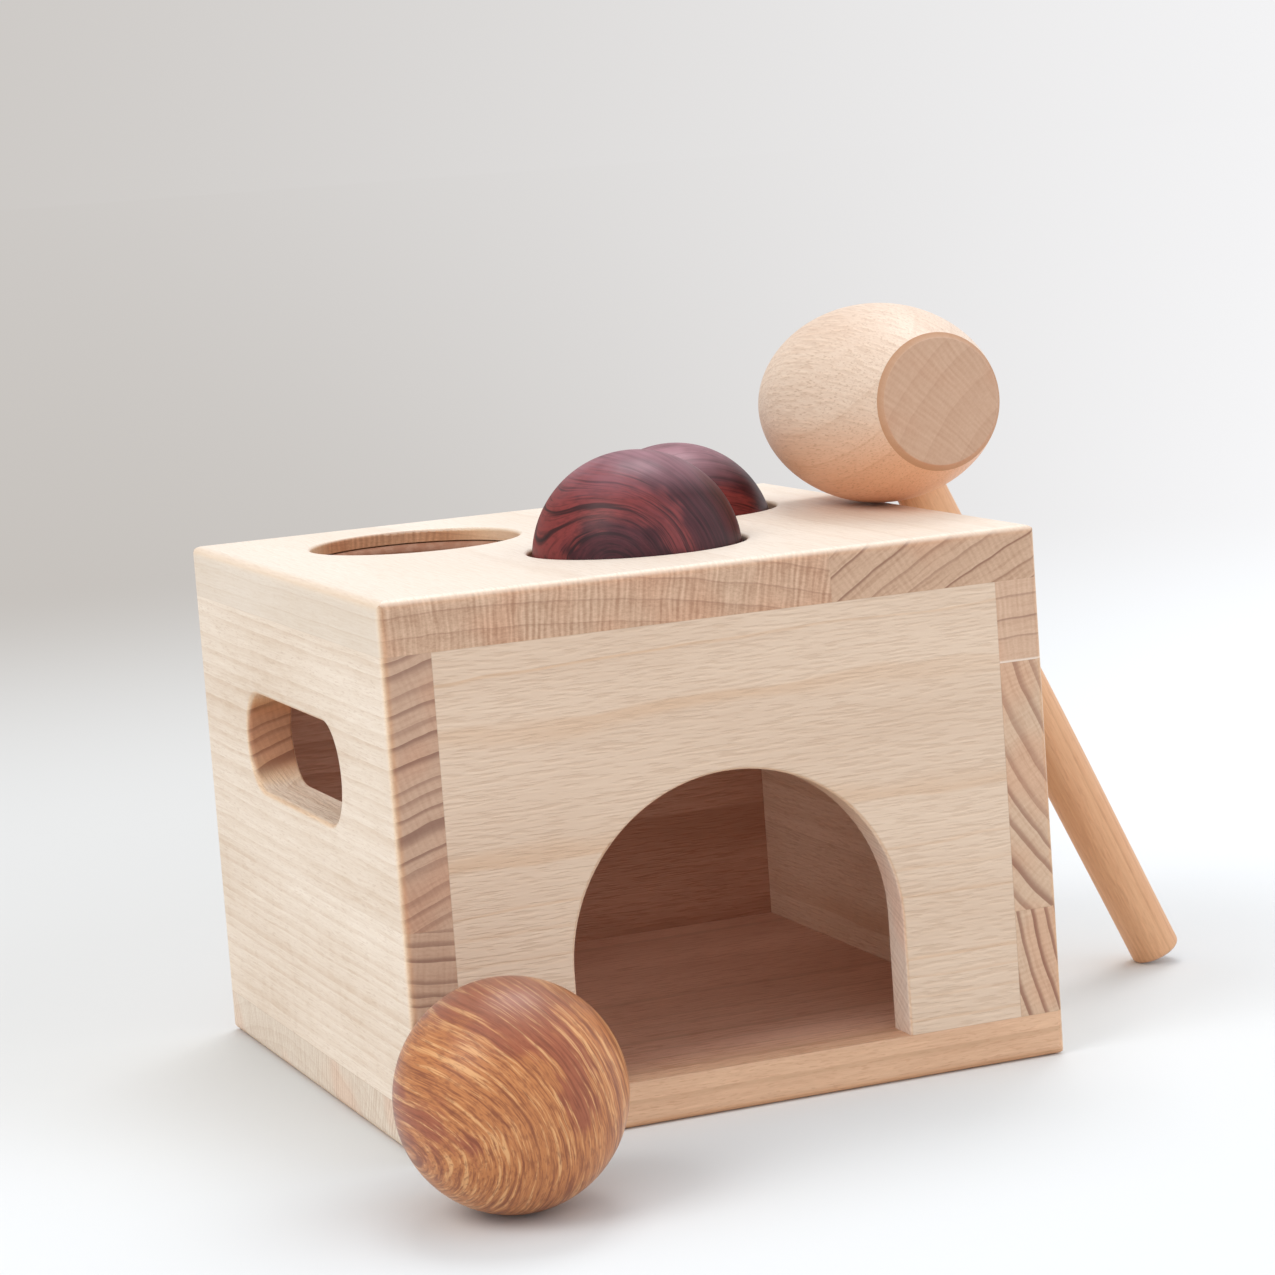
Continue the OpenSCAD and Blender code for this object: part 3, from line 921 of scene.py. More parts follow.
@dataclass(frozen=True)
class LogCut:
    """Where in its log a piece was cut, and what that piece shows of it.

    The bearing is the direction from the piece's middle to the pith, in degrees from the
    first axis across the grain towards the second. Distances and widths are millimetres.
    """

    grain: Grain
    bearing: float
    pith_distance: float
    ring_width: float = 4.5
    sway: float = 1.0
    unevenness: float = 0.5
    ray_spacing: float = 0.75
    seed: float = 0.0
    line_share: float = 0.15
    ray_strength: float = 1.0
    end_line_strength: float = 0.8

    def feeds(self, piece: Piece) -> dict[str, Feed]:
        """Works out where the pith is and how the piece turns into the log.

        Args:
            piece: the piece's place.

        Returns:
            The inputs Pith and Turn of a grain group.
        """
        grain, first, second = (piece.turn @ Vector(axis) for axis in self.grain.value)
        angle = math.radians(self.bearing)
        to_pith = math.cos(angle) * first + math.sin(angle) * second
        rows = Matrix((-to_pith, grain.cross(-to_pith), grain))
        pith = piece.middle + to_pith * self.pith_distance * MM
        return {"Pith": pith, "Turn": rows.to_euler("XYZ")}


def coordinates(sheet: Sheet) -> dict[str, Feed]:
    """Returns the place and the normal in the piece's own coordinates."""
    source = sheet.node("ShaderNodeTexCoord", {})
    return {"Place": source.outputs["Object"], "Normal": source.outputs["Normal"]}


def new_material(name: str) -> tuple[bpy.types.Material, Sheet, bpy.types.Node]:
    """Starts a material.

    Args:
        name: the material's name.

    Returns:
        The material, its sheet and its Principled shader.
    """
    material = bpy.data.materials.new(name)
    material.use_nodes = True
    return material, Sheet(material.node_tree), material.node_tree.nodes["Principled BSDF"]


def finish_surface(sheet: Sheet, shader: bpy.types.Node, found: dict[str, Feed], relief: float) -> None:
    """Feeds a worked-out colour, roughness and height to the shader.

    Args:
        sheet: the material's sheet.
        shader: its Principled shader.
        found: Colour, Roughness and Height.
        relief: the height in metres of a full step of Height.
    """
    feeds = {"Strength": BUMP_STRENGTH, "Distance": relief, "Height": found["Height"]}
    bump = sheet.node("ShaderNodeBump", feeds)
    sheet.feed(shader.inputs["Base Color"], found["Colour"])
    sheet.feed(shader.inputs["Roughness"], found["Roughness"])
    sheet.feed(shader.inputs["Normal"], bump.outputs["Normal"])


def chamber() -> dict[str, Feed]:
    """Finds the corners of the room inside the box.

    Returns:
        The inputs Room Low and Room High of the cavity's tone.
    """
    (left_low, left_high), (right_low, _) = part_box("left_lower_stave"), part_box("right_lower_stave")
    front_high, back_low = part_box("front_panel")[1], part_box("back_panel")[0]
    top_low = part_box("top_left_stave")[0]
    return {
        "Room Low": Vector((left_high.x, front_high.y, left_low.z)),
        "Room High": Vector((right_low.x, back_low.y, top_low.z)),
    }


@dataclass(frozen=True)
class BeechFinish:
    """Sanded and oiled beech. The colours are linear shares of light.

    A squared piece is a board, which has glue lines, cut walls and painted light and shade on its side to
    the chamber.
    With the joint below, only its lowest plane has a glue line, because the planes of the
    line's other sides are moved away by far more than the box's size.
    """

    light: Colour = shade(0.84, 0.71, 0.57)
    dark: Colour = shade(0.72, 0.57, 0.42)
    line: Colour = shade(0.60, 0.42, 0.28)
    fleck: Colour = shade(0.55, 0.38, 0.26)
    end_light: Colour = shade(0.68, 0.46, 0.33)
    end_dark: Colour = shade(0.52, 0.31, 0.21)
    end_line: Colour = shade(0.30, 0.155, 0.10)
    line_strength: float = 0.5
    fleck_strength: float = 0.5
    pore_strength: float = 0.2
    joint: Colour = shade(0.42, 0.27, 0.17)
    joint_strength: float = 0.3
    joint_width: float = 0.16 * MM
    joint_below: bool = False
    cut_strength: float = 0.8
    edge_strength: float = 0.65
    painted_top_light: float = 0.0
    belly_tone_and_bounce_light: float = 0.0
    rim_strength: float = 0.0
    painted_inside_light_and_shade: Colour = shade(1.0, 0.94, 0.90)
    relief: float = 0.12 * MM
    squared: bool = True

    def material(self, name: str, cut: LogCut, piece: Piece) -> bpy.types.Material:
        """Makes the material of one piece.

        Args:
            name: the material's name.
            cut: where in its log the piece was cut.
            piece: the piece's box and turn.

        Returns:
            The material.
        """
        material, sheet, shader = new_material(name)
        found: dict[str, Feed] = {**coordinates(sheet), **cut.feeds(piece)}
        found |= BeechGrain().place(sheet, found, self, cut)
        if self.squared:
            away = float(self.joint_below)
            found |= {
                "Line Low": piece.low - Vector((away, away, 0.0)),
                "Line High": piece.high + Vector((away, away, away)),
                "Box Low": piece.low, "Box High": piece.high, **chamber(),
            }
            found |= BoardJoint().place(sheet, found, self)
            found |= PaintedCavityLight().place(sheet, found, self)
        found |= SurfaceTone().place(sheet, found, self)
        finish_surface(sheet, shader, found, self.relief)
        return material


@dataclass(frozen=True)
class StreakedFinish:
    """Polished streaked hardwood with a thin satin coat and a painted sheen."""

    ground: Colour
    patch: Colour
    dark: Colour
    light: Colour
    haze: Colour
    dark_strength: float
    light_strength: float
    hair_strength: float
    speckle_strength: float
    painted_sheen_strength: float
    streak_width: float
    band_radius: float
    band_strength: float
    specular: float
    coat: float
    coat_roughness: float
    streak_length: float = 40.0
    end_painted_sheen: float = 0.0
    relief: float = 0.02 * MM

    def material(
        self, name: str, cut: LogCut, piece: Piece, side: Triple, start: float,
    ) -> bpy.types.Material:
        """Makes the material of one piece.

        Args:
            name: the material's name.
            cut: where in its log the piece was cut.
            piece: the piece's box and turn.
            side: the direction in which the patch colour lies. The longer, the straighter its border.
            start: how far that way it starts, in shares of the piece's half height.

        Returns:
            The material.
        """
        material, sheet, shader = new_material(name)
        half = (piece.high.z - piece.low.z) / 2
        found: dict[str, Feed] = {
            **coordinates(sheet), **cut.feeds(piece),
            "Middle": piece.middle, "Patch Side": Vector(side) / half, "Patch Start": start,
        }
        found |= StreakedGrain().place(sheet, found, self, cut)
        finish_surface(sheet, shader, found, self.relief)
        shader.inputs["Specular IOR Level"].default_value = self.specular
        shader.inputs["Coat Weight"].default_value = self.coat
        shader.inputs["Coat Roughness"].default_value = self.coat_roughness
        return material


@dataclass(frozen=True)
class ElasticFinish:
    """Soft brown elastic with a faint bloom of dust: blotches over it, and a fine skin."""

    clean: Colour = shade(0.37, 0.18, 0.112)
    bloom: Colour = shade(0.44, 0.245, 0.165)
    bloom_span: Span = (0.40, 0.66)
    rough: Slope = (0.25, 0.55)
    specular: float = 0.15
    blotch: float = 2.2 * MM
    skin_fineness: float = 8.0
    skin_height: float = 0.4
    relief: float = 0.03 * MM

    def material(self, name: str) -> bpy.types.Material:
        """Makes the material.

        Args:
            name: the material's name.

        Returns:
            The material.
        """
        material, sheet, shader = new_material(name)
        place = coordinates(sheet)["Place"]
        blotches = sheet.noise(sheet.scaled(place, 1.0 / self.blotch), detail=3.0, roughness=0.6)
        skin = sheet.noise(sheet.scaled(place, self.skin_fineness / self.blotch), detail=2.0)
        found: dict[str, Feed] = {
            "Colour": sheet.mix(sheet.step(blotches, *self.bloom_span), self.clean, self.bloom),
            "Roughness": sheet.line(blotches, *self.rough),
            "Height": sheet.line(skin, self.skin_height, blotches),
        }
        finish_surface(sheet, shader, found, self.relief)
        shader.inputs["Specular IOR Level"].default_value = self.specular
        return material


FACE_BEECH = BeechFinish(
    light=shade(0.93, 0.81, 0.68), dark=shade(0.73, 0.58, 0.44), line=shade(0.64, 0.45, 0.30),
    end_light=shade(0.635, 0.435, 0.31), end_dark=shade(0.45, 0.27, 0.18),
    end_line=shade(0.24, 0.12, 0.08), line_strength=0.36, fleck_strength=0.3, pore_strength=0.3,
    joint_strength=0.12, edge_strength=0.9, relief=0.30 * MM,
)
PALE_BEECH = BeechFinish(
    dark=shade(0.66, 0.51, 0.37), line=shade(0.64, 0.45, 0.30),
    end_light=shade(0.72, 0.53, 0.375), end_dark=shade(0.53, 0.335, 0.22),
    end_line=shade(0.30, 0.15, 0.095), painted_inside_light_and_shade=shade(1.15, 1.06, 1.04),
    fleck_strength=0.3, pore_strength=0.3, edge_strength=0.9, relief=0.30 * MM,
)
GLUED_BEECH = BeechFinish(
    line=shade(0.64, 0.47, 0.33), end_light=shade(0.72, 0.50, 0.355), end_dark=shade(0.52, 0.32, 0.21),
    end_line=shade(0.24, 0.12, 0.08), painted_inside_light_and_shade=shade(1.15, 1.06, 1.04),
    line_strength=0.4, fleck_strength=0.3,
    joint=shade(0.88, 0.76, 0.65), joint_strength=0.75, joint_width=0.62 * MM, joint_below=True,
)
# Painted light: the top staves' colours are paler and less saturated, and their upper faces paler still,
# for the strong light on the top.
TOP_BEECH = BeechFinish(
    light=shade(0.85, 0.745, 0.63), dark=shade(0.73, 0.60, 0.465), fleck=shade(0.62, 0.46, 0.33),
    end_light=shade(0.70, 0.48, 0.335), end_dark=shade(0.42, 0.245, 0.15),
    end_line=shade(0.28, 0.14, 0.085), line_strength=0.3, fleck_strength=0.3,
    joint_strength=0.12, painted_top_light=0.30,
)
# The panel's end grain is paler, partly its own tone and partly painted light on the doorway's jamb.
PANEL_BEECH = BeechFinish(
    light=shade(0.76, 0.595, 0.455), dark=shade(0.66, 0.49, 0.36), line=shade(0.66, 0.42, 0.25),
    fleck=shade(0.52, 0.35, 0.23), end_light=shade(0.88, 0.75, 0.64), end_dark=shade(0.72, 0.58, 0.48),
    fleck_strength=0.30, pore_strength=0.0, cut_strength=0.0, relief=0.20 * MM,
)
BACK_BEECH = BeechFinish(
    light=shade(0.84, 0.67, 0.52), dark=shade(0.60, 0.42, 0.29), line=shade(0.50, 0.30, 0.18),
    fleck=shade(0.52, 0.32, 0.20), painted_inside_light_and_shade=shade(0.84, 0.61, 0.56),
    line_strength=0.7, fleck_strength=0.35, relief=0.20 * MM,
)
BASE_BEECH = BeechFinish(
    light=shade(0.80, 0.52, 0.335), dark=shade(0.62, 0.37, 0.225), line=shade(0.50, 0.30, 0.17),
    fleck=shade(0.50, 0.25, 0.135), end_light=shade(0.84, 0.74, 0.62), end_dark=shade(0.66, 0.52, 0.40),
    painted_inside_light_and_shade=shade(0.99, 0.92, 1.07), fleck_strength=0.55, pore_strength=0.4, relief=0.2 * MM,
)
HEAD_BEECH = BeechFinish(
    light=shade(0.82, 0.67, 0.54), dark=shade(0.71, 0.52, 0.39), line=shade(0.55, 0.36, 0.23),
    fleck=shade(0.48, 0.30, 0.19), end_light=shade(0.615, 0.405, 0.28), end_dark=shade(0.49, 0.29, 0.185),
    line_strength=0.25, fleck_strength=0.25, pore_strength=0.5, edge_strength=0.0, painted_top_light=0.08,
    belly_tone_and_bounce_light=0.85, rim_strength=0.9, relief=0.05 * MM, squared=False,
)
HANDLE_BEECH = BeechFinish(
    light=shade(0.80, 0.47, 0.26), dark=shade(0.67, 0.34, 0.175), line=shade(0.42, 0.20, 0.09),
    fleck=shade(0.46, 0.21, 0.10), end_light=shade(0.70, 0.52, 0.42), end_dark=shade(0.58, 0.40, 0.31),
    line_strength=0.35, fleck_strength=0.25, edge_strength=0.0, relief=0.05 * MM, squared=False,
)
ROSEWOOD = StreakedFinish(
    ground=shade(0.055, 0.010, 0.015), patch=shade(0.215, 0.036, 0.034), dark=shade(0.014, 0.004, 0.006),
    light=shade(0.13, 0.024, 0.030), haze=shade(0.35, 0.175, 0.21),
    dark_strength=0.85, light_strength=0.35, hair_strength=0.6, speckle_strength=0.35,
    painted_sheen_strength=0.74, end_painted_sheen=0.12, streak_width=1.6, band_radius=18.0, band_strength=1.1,
    specular=0.0, coat=0.5, coat_roughness=0.36,
)
GOLDEN_HARDWOOD = StreakedFinish(
    ground=shade(0.53, 0.205, 0.070), patch=shade(0.36, 0.105, 0.048), dark=shade(0.22, 0.060, 0.026),
    light=shade(0.86, 0.50, 0.225), haze=shade(0.27, 0.148, 0.105),
    dark_strength=0.75, light_strength=0.6, hair_strength=0.6, speckle_strength=0.55,
    painted_sheen_strength=0.40, streak_width=1.3, streak_length=24.0, band_radius=14.3, band_strength=0.75,
    specular=0.15, coat=0.5, coat_roughness=0.42, relief=0.012 * MM,
)


def surface_object(name: str, points: np.ndarray, faces: list[list[int]]) -> bpy.types.Object:
    """Makes a smooth object at the origin, with its faces pointing outwards.

    The surface is closed, so the sum of its triangles' volumes to the origin, each a sixth
    of a triple product, is negative when its faces point inwards. They are then turned over.

    Args:
        name: the object's name.
        points: its points, one row each, in metres.
        faces: the point numbers of each face.

    Returns:
        The object, linked to the scene.
    """
    fans = np.array([[face[0], face[k], face[k + 1]] for face in faces for k in range(1, len(face) - 1)])
    corners = points[fans]
    volume = np.einsum("ij,ij->i", corners[:, 0], np.cross(corners[:, 1], corners[:, 2])).sum() / 6
    if volume < 0:
        faces = [face[::-1] for face in faces]
    mesh = bpy.data.meshes.new(name)
    mesh.from_pydata(points.tolist(), [], faces)
    mesh.polygons.foreach_set("use_smooth", np.ones(len(faces), bool))
    mesh.update()
    made = bpy.data.objects.new(name, mesh)
    bpy.context.scene.collection.objects.link(made)
    return made


def wrap(count: int) -> tuple[np.ndarray, np.ndarray]:
    """Returns each step round a closed loop of that many points, and the step after it."""
    here = np.arange(count)
    return here, (here + 1) % count


def poled_surface(name: str, rows: np.ndarray, first: np.ndarray, last: np.ndarray) -> bpy.types.Object:
    """Makes a closed surface from loops between two poles.

    Args:
        name: the object's name.
        rows: the loops, as rows by points by three.
        first: the pole before the first loop.
        last: the pole after the last loop.

    Returns:
        The object.
    """
    count, around = rows.shape[:2]
    points = np.vstack([rows.reshape(-1, 3), first[None], last[None]])
    here, there = wrap(around)
    starts = (np.arange(count - 1) * around)[:, None]
    quads = np.stack([starts + here, starts + there, starts + around + there, starts + around + here], -1)
    top = (count - 1) * around
    pole, far_pole = count * around, count * around + 1
    start_fan = np.stack([np.full(around, pole), there, here], -1)
    end_fan = np.stack([np.full(around, far_pole), top + here, top + there], -1)
    faces = quads.reshape(-1, 4).tolist() + start_fan.tolist() + end_fan.tolist()
    return surface_object(name, points, faces)


def looped_surface(name: str, rows: np.ndarray) -> bpy.types.Object:
    """Makes a closed surface from loops that follow each other round, as a ring's do.

    Args:
        name: the object's name.
        rows: the loops, as rows by points by three. The last joins the first.

    Returns:
        The object.
    """
    count, around = rows.shape[:2]
    row, next_row = (steps[:, None] * around for steps in wrap(count))
    here, there = wrap(around)
    quads = np.stack([row + here, row + there, next_row + there, next_row + here], -1)
    return surface_object(name, rows.reshape(-1, 3), quads.reshape(-1, 4).tolist())


def swept(radius: np.ndarray, height: np.ndarray, angle: np.ndarray) -> np.ndarray:
    """Puts each radius r and height h at each angle a round the Z axis: (r cos a, r sin a, h)."""
    parts = np.broadcast_arrays(radius * np.cos(angle), radius * np.sin(angle), height)
    return np.stack(parts, -1)


def round_angles(count: int) -> np.ndarray:
    """Returns that many even angles round a circle."""
    return np.linspace(0, 2 * math.pi, count, endpoint=False)


def turned(outline: np.ndarray, around: int, place: Matrix) -> np.ndarray:
    """Turns an outline round the Z axis and puts it in its place.

    Args:
        outline: radius and height of each point.
        around: the number of points round the axis.
        place: where the turned piece goes.

    Returns:
        The loops, as rows by points by three.
    """
    loops = swept(outline[:, :1], outline[:, 1:], round_angles(around))
    matrix = np.array(place)
    return loops @ matrix[:3, :3].T + matrix[:3, 3]


def softened(outline: list[tuple[float, float]], radii: list[float], steps: int = 8) -> np.ndarray:
    """Rounds the inner corners of an open outline with arcs.

    At each corner the arc touches both sides: it starts at radius times the tangent of half
    the turning angle before the corner, and its points are the corner's own two tangents
    mixed by the sine and cosine of the way round.

    Args:
        outline: the corners, first and last included.
        radii: the arc's radius at each inner corner.
        steps: the number of steps in each arc.

    Returns:
        The points of the rounded outline.
    """
    corners = np.array(outline, float)
    done = [corners[:1]]
    for before, corner, after, radius in zip(corners[:-2], corners[1:-1], corners[2:], radii):
        into = (corner - before) / np.linalg.norm(corner - before)
        out = (after - corner) / np.linalg.norm(after - corner)
        turn = math.acos(float(np.clip(into @ out, -1, 1)))
        start = corner - into * radius * math.tan(turn / 2)
        inward = (out - into * (into @ out)) / math.sin(turn)
        way = np.linspace(0, turn, steps + 1)[:, None]
        done.append(start + radius * (np.sin(way) * into + (1 - np.cos(way)) * inward))
    done.append(corners[-1:])
    return np.vstack(done)


def dress(piece: bpy.types.Object, material: bpy.types.Material) -> None:
    """Gives a piece one material in place of what it has."""
    piece.data.materials.clear()
    piece.data.materials.append(material)


@dataclass
class Case:
    """The glued beech case: its boards, its panels and the dowels inside the joints.

    The numbers of each cut are, in order, its bearing, pith distance, ring width, sway,
    unevenness, ray spacing, seed, line share, ray strength and end line strength.
    """

    boards: dict[str, tuple[BeechFinish, LogCut]] = field(default_factory=lambda: {
        "left_upper_stave": (
            FACE_BEECH, LogCut(Grain.DEPTH, -73.0, 130.0, 3.7, 1.2, 0.4, 1.0, 11.3, 0.45, 0.3, 0.8)),
        "left_lower_stave": (
            FACE_BEECH, LogCut(Grain.DEPTH, 84.0, 200.0, 3.4, 1.0, 0.5, 1.0, 23.1, 0.40, 0.3, 0.8)),
        "right_middle_stave": (
            PALE_BEECH, LogCut(Grain.DEPTH, 32.0, 105.0, 4.6, 0.8, 0.3, 0.9, 42.2, 0.42, 0.35, 1.0)),
        "right_lower_stave": (
            PALE_BEECH, LogCut(Grain.DEPTH, 14.0, 150.0, 3.4, 0.7, 0.3, 0.9, 57.9, 0.42, 0.35, 1.0)),
        "right_upper_stave": (
            GLUED_BEECH, LogCut(Grain.DEPTH, -88.0, 280.0, 5.2, 0.4, 0.3, 0.9, 31.7, 0.12, 0.45, 0.8)),
        "top_left_stave": (
            TOP_BEECH, LogCut(Grain.DEPTH, -96.0, 340.0, 4.8, 0.6, 0.3, 1.0, 63.4, 0.07, 0.8, 0.30)),
        "top_right_stave": (
            TOP_BEECH, LogCut(Grain.DEPTH, -62.0, 240.0, 4.5, 0.5, 0.2, 1.0, 71.5, 0.14, 0.25, 0.9)),
        "front_panel": (
            PANEL_BEECH, LogCut(Grain.WIDTH, 12.0, 90.0, 3.0, 1.6, 0.7, 0.85, 83.6, 0.16, 1.0, 0.05)),
        "back_panel": (
            BACK_BEECH, LogCut(Grain.WIDTH, 205.0, 90.0, 4.4, 1.6, 0.6, 1.0, 97.2, 0.45, 1.0, 0.4)),
        "bottom_board": (
            BASE_BEECH, LogCut(Grain.WIDTH, -80.0, 150.0, 4.0, 1.0, 0.5, 1.0, 105.8, 0.2, 0.9, 0.0)),
        "top_dowels": (BASE_BEECH, LogCut(Grain.HEIGHT, 10.0, 60.0, 2.5, 0.5, 0.5, 0.7, 113.9)),
        "bottom_dowels": (BASE_BEECH, LogCut(Grain.HEIGHT, 50.0, 60.0, 2.5, 0.5, 0.5, 0.7, 127.3)),
    })

    def build(self) -> None:
        """Gives each board, panel and dowel row its own cut of beech."""
        for node, (finish, cut) in self.boards.items():
            dress(frame["nodes"][node], finish.material(f"beech_{node}", cut, Piece(*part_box(node))))
            LOG.info("%s: beech with its grain along the %s", node, cut.grain.name.lower())


@dataclass
class ElasticRing:
    """A soft ring in the wall of a ball hole, with the fine ridge that its mould left.

    The cord's section is a circle, or where a ball squeezes it a flat-sided oval: its half
    width follows the cosine and its half height the sine of the way round, plus half the
    flat's height above and below. The flat's two ends ease in over the side's softness.
    """

    node: str
    cord_width: float
    flat_height: float = 0.0
    around: int = 180
    section: int = 40
    side_softness: float = 0.25
    ridge: float = 0.05 * MM
    ridge_width: float = 0.16

    def build(self, finish: bpy.types.Material) -> bpy.types.Object:
        """Makes the ring in the place of its node.

        Args:
            finish: the elastic's material.

        Returns:
            The ring.
        """
        low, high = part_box(self.node)
        half = self.cord_width / 2
        middle_radius = (high.x - low.x) / 2 - half
        way = round_angles(self.section)
        side = np.clip(np.sin(way) / self.side_softness, -1, 1)
        ridge = self.ridge * np.exp(-((way - math.pi) / self.ridge_width) ** 2)
        radius = middle_radius + half * np.cos(way) - ridge
        height = half * np.sin(way) + side * self.flat_height / 2
        rows = swept(radius, height, round_angles(self.around)[:, None])
        ring = looped_surface(self.node + "_cord", rows + np.array((low + high) / 2))
        dress(ring, finish)
        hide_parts(self.node)
        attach(ring, "box")
        LOG.info("%s: bore %.1f mm across", ring.name, 2 * (middle_radius - half) / MM)
        return ring


@dataclass
class Ball:
    """A turned and polished ball, a hair out of round as a real one is.

    Its radius at an angle from the turning axis, and round it, is the full radius less two
    small waves: one of twice the first angle, and one of three times the second.
    """

    node: str
    finish: StreakedFinish
    cut: LogCut
    slot: str
    axis_lean: Triple
    patch_side: Triple
    patch_start: float
    long_wave: float = 0.05 * MM
    round_wave: float = 0.03 * MM
    rings: int = 120
    around: int = 200

    def build(self) -> bpy.types.Object:
        """Makes the ball in the place of its node.

        Returns:
            The ball.
        """
        low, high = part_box(self.node)
        centre = np.array((low + high) / 2)
        full = (high.z - low.z) / 2
        tilt = np.linspace(0, math.pi, self.rings + 2)[1:-1, None]
        turn = round_angles(self.around)
        radius = full - self.long_wave * np.sin(tilt) ** 2
        radius = radius - self.round_wave * (1 + np.cos(3 * turn)) / 2 * np.sin(tilt) ** 2
        rows = swept(radius * np.sin(tilt), radius * np.cos(tilt), turn)
        lean = np.array(Euler([math.radians(angle) for angle in self.axis_lean]).to_matrix())
        pole = lean @ np.array((0.0, 0.0, full))
        ball = poled_surface(self.node + "_turned", rows @ lean.T + centre, centre + pole, centre - pole)
        name = self.slot + "_" + self.node
        material = self.finish.material(name, self.cut, Piece(low, high), self.patch_side, self.patch_start)
        dress(ball, material)
        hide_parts(self.node)
        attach(ball, self.node)
        LOG.info("%s: %.1f mm across", ball.name, 2 * full / MM)
        return ball


@dataclass
class Hammer:
    """The barrel-headed hammer, which lies on the box's edge with its foot on the table.

    In its own axes the head lies along Y and the handle hangs down -Z. The lean is the
    handle's, the turn is the head's seen from above, and the tip lifts its front face. The
    numbers of its cuts are in the case's order.
    """

    lean: float = 24.3
    turn: float = 2.5
    tip: float = 2.8
    head_length: float = 66.0 * MM
    head_width: float = 47.6 * MM
    face_width: float = 30.6 * MM
    chamfer: float = 0.6 * MM
    face_crown: float = 0.15 * MM
    rim_softness: float = 0.5 * MM
    handle_width: float = 12.2 * MM
    handle_swell: float = 0.35 * MM
    handle_end: float = 1.5 * MM
    socket_depth: float = 30.0 * MM
    face_steps: int = 14
    face_spacing: float = 0.8
    barrel_steps: int = 40
    head_around: int = 144
    foot_side_share: float = 3.0
    rod_start_share: float = 1.5
    sole_steps: int = 8
    rod_steps: int = 60
    handle_around: int = 96
    head_cut: LogCut = LogCut(Grain.DEPTH, -69.0, 60.0, 7.0, 0.8, 0.4, 1.0, 139.7, 0.10, 0.5, 0.05)
    handle_cut: LogCut = LogCut(Grain.HEIGHT, 30.0, 60.0, 4.0, 1.0, 0.6, 1.0, 151.2, 0.3)

    def place(self) -> Matrix:
        """Puts the hammer's own axes at the middle of the head's node.

        Returns:
            The place and the turn of its axes.
        """
        low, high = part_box("hammer_head")
        turn = Matrix.Rotation(math.radians(self.turn), 4, "Z")
        tip = Matrix.Rotation(-math.radians(self.tip), 4, "X")
        lean = Matrix.Rotation(-math.radians(self.lean), 4, "Y")
        return Matrix.Translation((low + high) / 2) @ turn @ tip @ lean

    def head(self, place: Matrix) -> bpy.types.Object:
        """Makes the head: one long arc between two chamfered, slightly crowned faces.

        The arc passes through the middle radius and both face radii, so its radius is the
        half length squared plus the sag squared, over twice the sag. A face's crown grows
        with the square of the radius.

        Args:
            place: the hammer's place.

        Returns:
            The head.
        """
        half, full, face = self.head_length / 2, self.head_width / 2, self.face_width / 2
        sag = full - face
        arc = (half * half + sag * sag) / (2 * sag)
        flat = face - self.chamfer
        slope = half / math.sqrt(arc * arc - half * half)
        run = self.chamfer / (1 - slope)
        rim = [(0.0, -half), (flat, -half + self.face_crown), (flat + run, -half + run)]
        along = np.linspace(-half + run + self.rim_softness, 0.0, self.barrel_steps)
        barrel = np.stack([full - arc + np.sqrt(arc * arc - along * along), along], -1)
        start = softened(rim + [tuple(barrel[0])], [self.rim_softness, self.rim_softness])
        crowned = np.linspace(0, 1, self.face_steps)[1:, None] ** self.face_spacing * start[1:2]
        crowned[:, 1] = -half + self.face_crown * (crowned[:, 0] / flat) ** 2
        front = np.vstack([crowned, start[2:-1], barrel])
        outline = np.vstack([front, front[-2::-1] * (1, -1)])
        along_y = place @ Matrix.Rotation(math.radians(-90.0), 4, "X")
        poles = [np.array(along_y @ Vector((0.0, 0.0, end * half))) for end in (-1.0, 1.0)]
        return poled_surface("hammer_head_barrel", turned(outline, self.head_around, along_y), *poles)

    def handle(self, place: Matrix) -> bpy.types.Object:
        """Makes the handle: a rod that swells a little between its foot and the head.

        The foot's lowest edge is on the table, so the way down from the head's middle is
        its height, less the rounding's share, over the cosine of the whole lean. The swell
        is the squared sine of the share of the way from the foot to the head. The foot's side
        and the rod's start are shares of the foot's rounding.

        Args:
            place: the hammer's place.

        Returns:
            The handle.
        """
        radius, end = self.handle_width / 2, self.handle_end
        down = math.acos(math.cos(math.radians(self.lean)) * math.cos(math.radians(self.tip)))
        height = place.translation.z
        reach = end + (height - end - (radius - end) * math.sin(down)) / math.cos(down)
        top = self.socket_depth - self.head_width / 2
        corners = [(0.0, -reach), (radius, -reach), (radius, -reach + self.foot_side_share * end)]
        foot = softened(corners, [end])[1:-1]
        sole = np.linspace(0, 1, self.sole_steps)[1:-1, None] * foot[:1]
        sole[:, 1] = -reach
        along = np.linspace(-reach + self.rod_start_share * end, top, self.rod_steps)
        share = np.clip((along + reach) / (reach - self.head_width / 2), 0, 1)
        rod = np.stack([radius + self.handle_swell * np.sin(math.pi * share) ** 2, along], -1)
        rows = turned(np.vstack([sole, foot, rod]), self.handle_around, place)
        poles = [np.array(place @ Vector((0.0, 0.0, level))) for level in (-reach, top)]
        return poled_surface("hammer_handle_rod", rows, *poles)

    def build(self) -> None:
        """Makes both pieces and gives them their wood."""
        place = self.place()
        turn = place.to_3x3()
        for node, piece, finish, cut in (
            ("hammer_head", self.head(place), HEAD_BEECH, self.head_cut),
            ("hammer_handle", self.handle(place), HANDLE_BEECH, self.handle_cut),
        ):
            dress(piece, finish.material(f"turned_beech_{node}", cut, Piece(*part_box(node), turn)))
            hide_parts(node)
            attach(piece, "hammer")
            LOG.info("%s: %d faces", piece.name, len(piece.data.polygons))


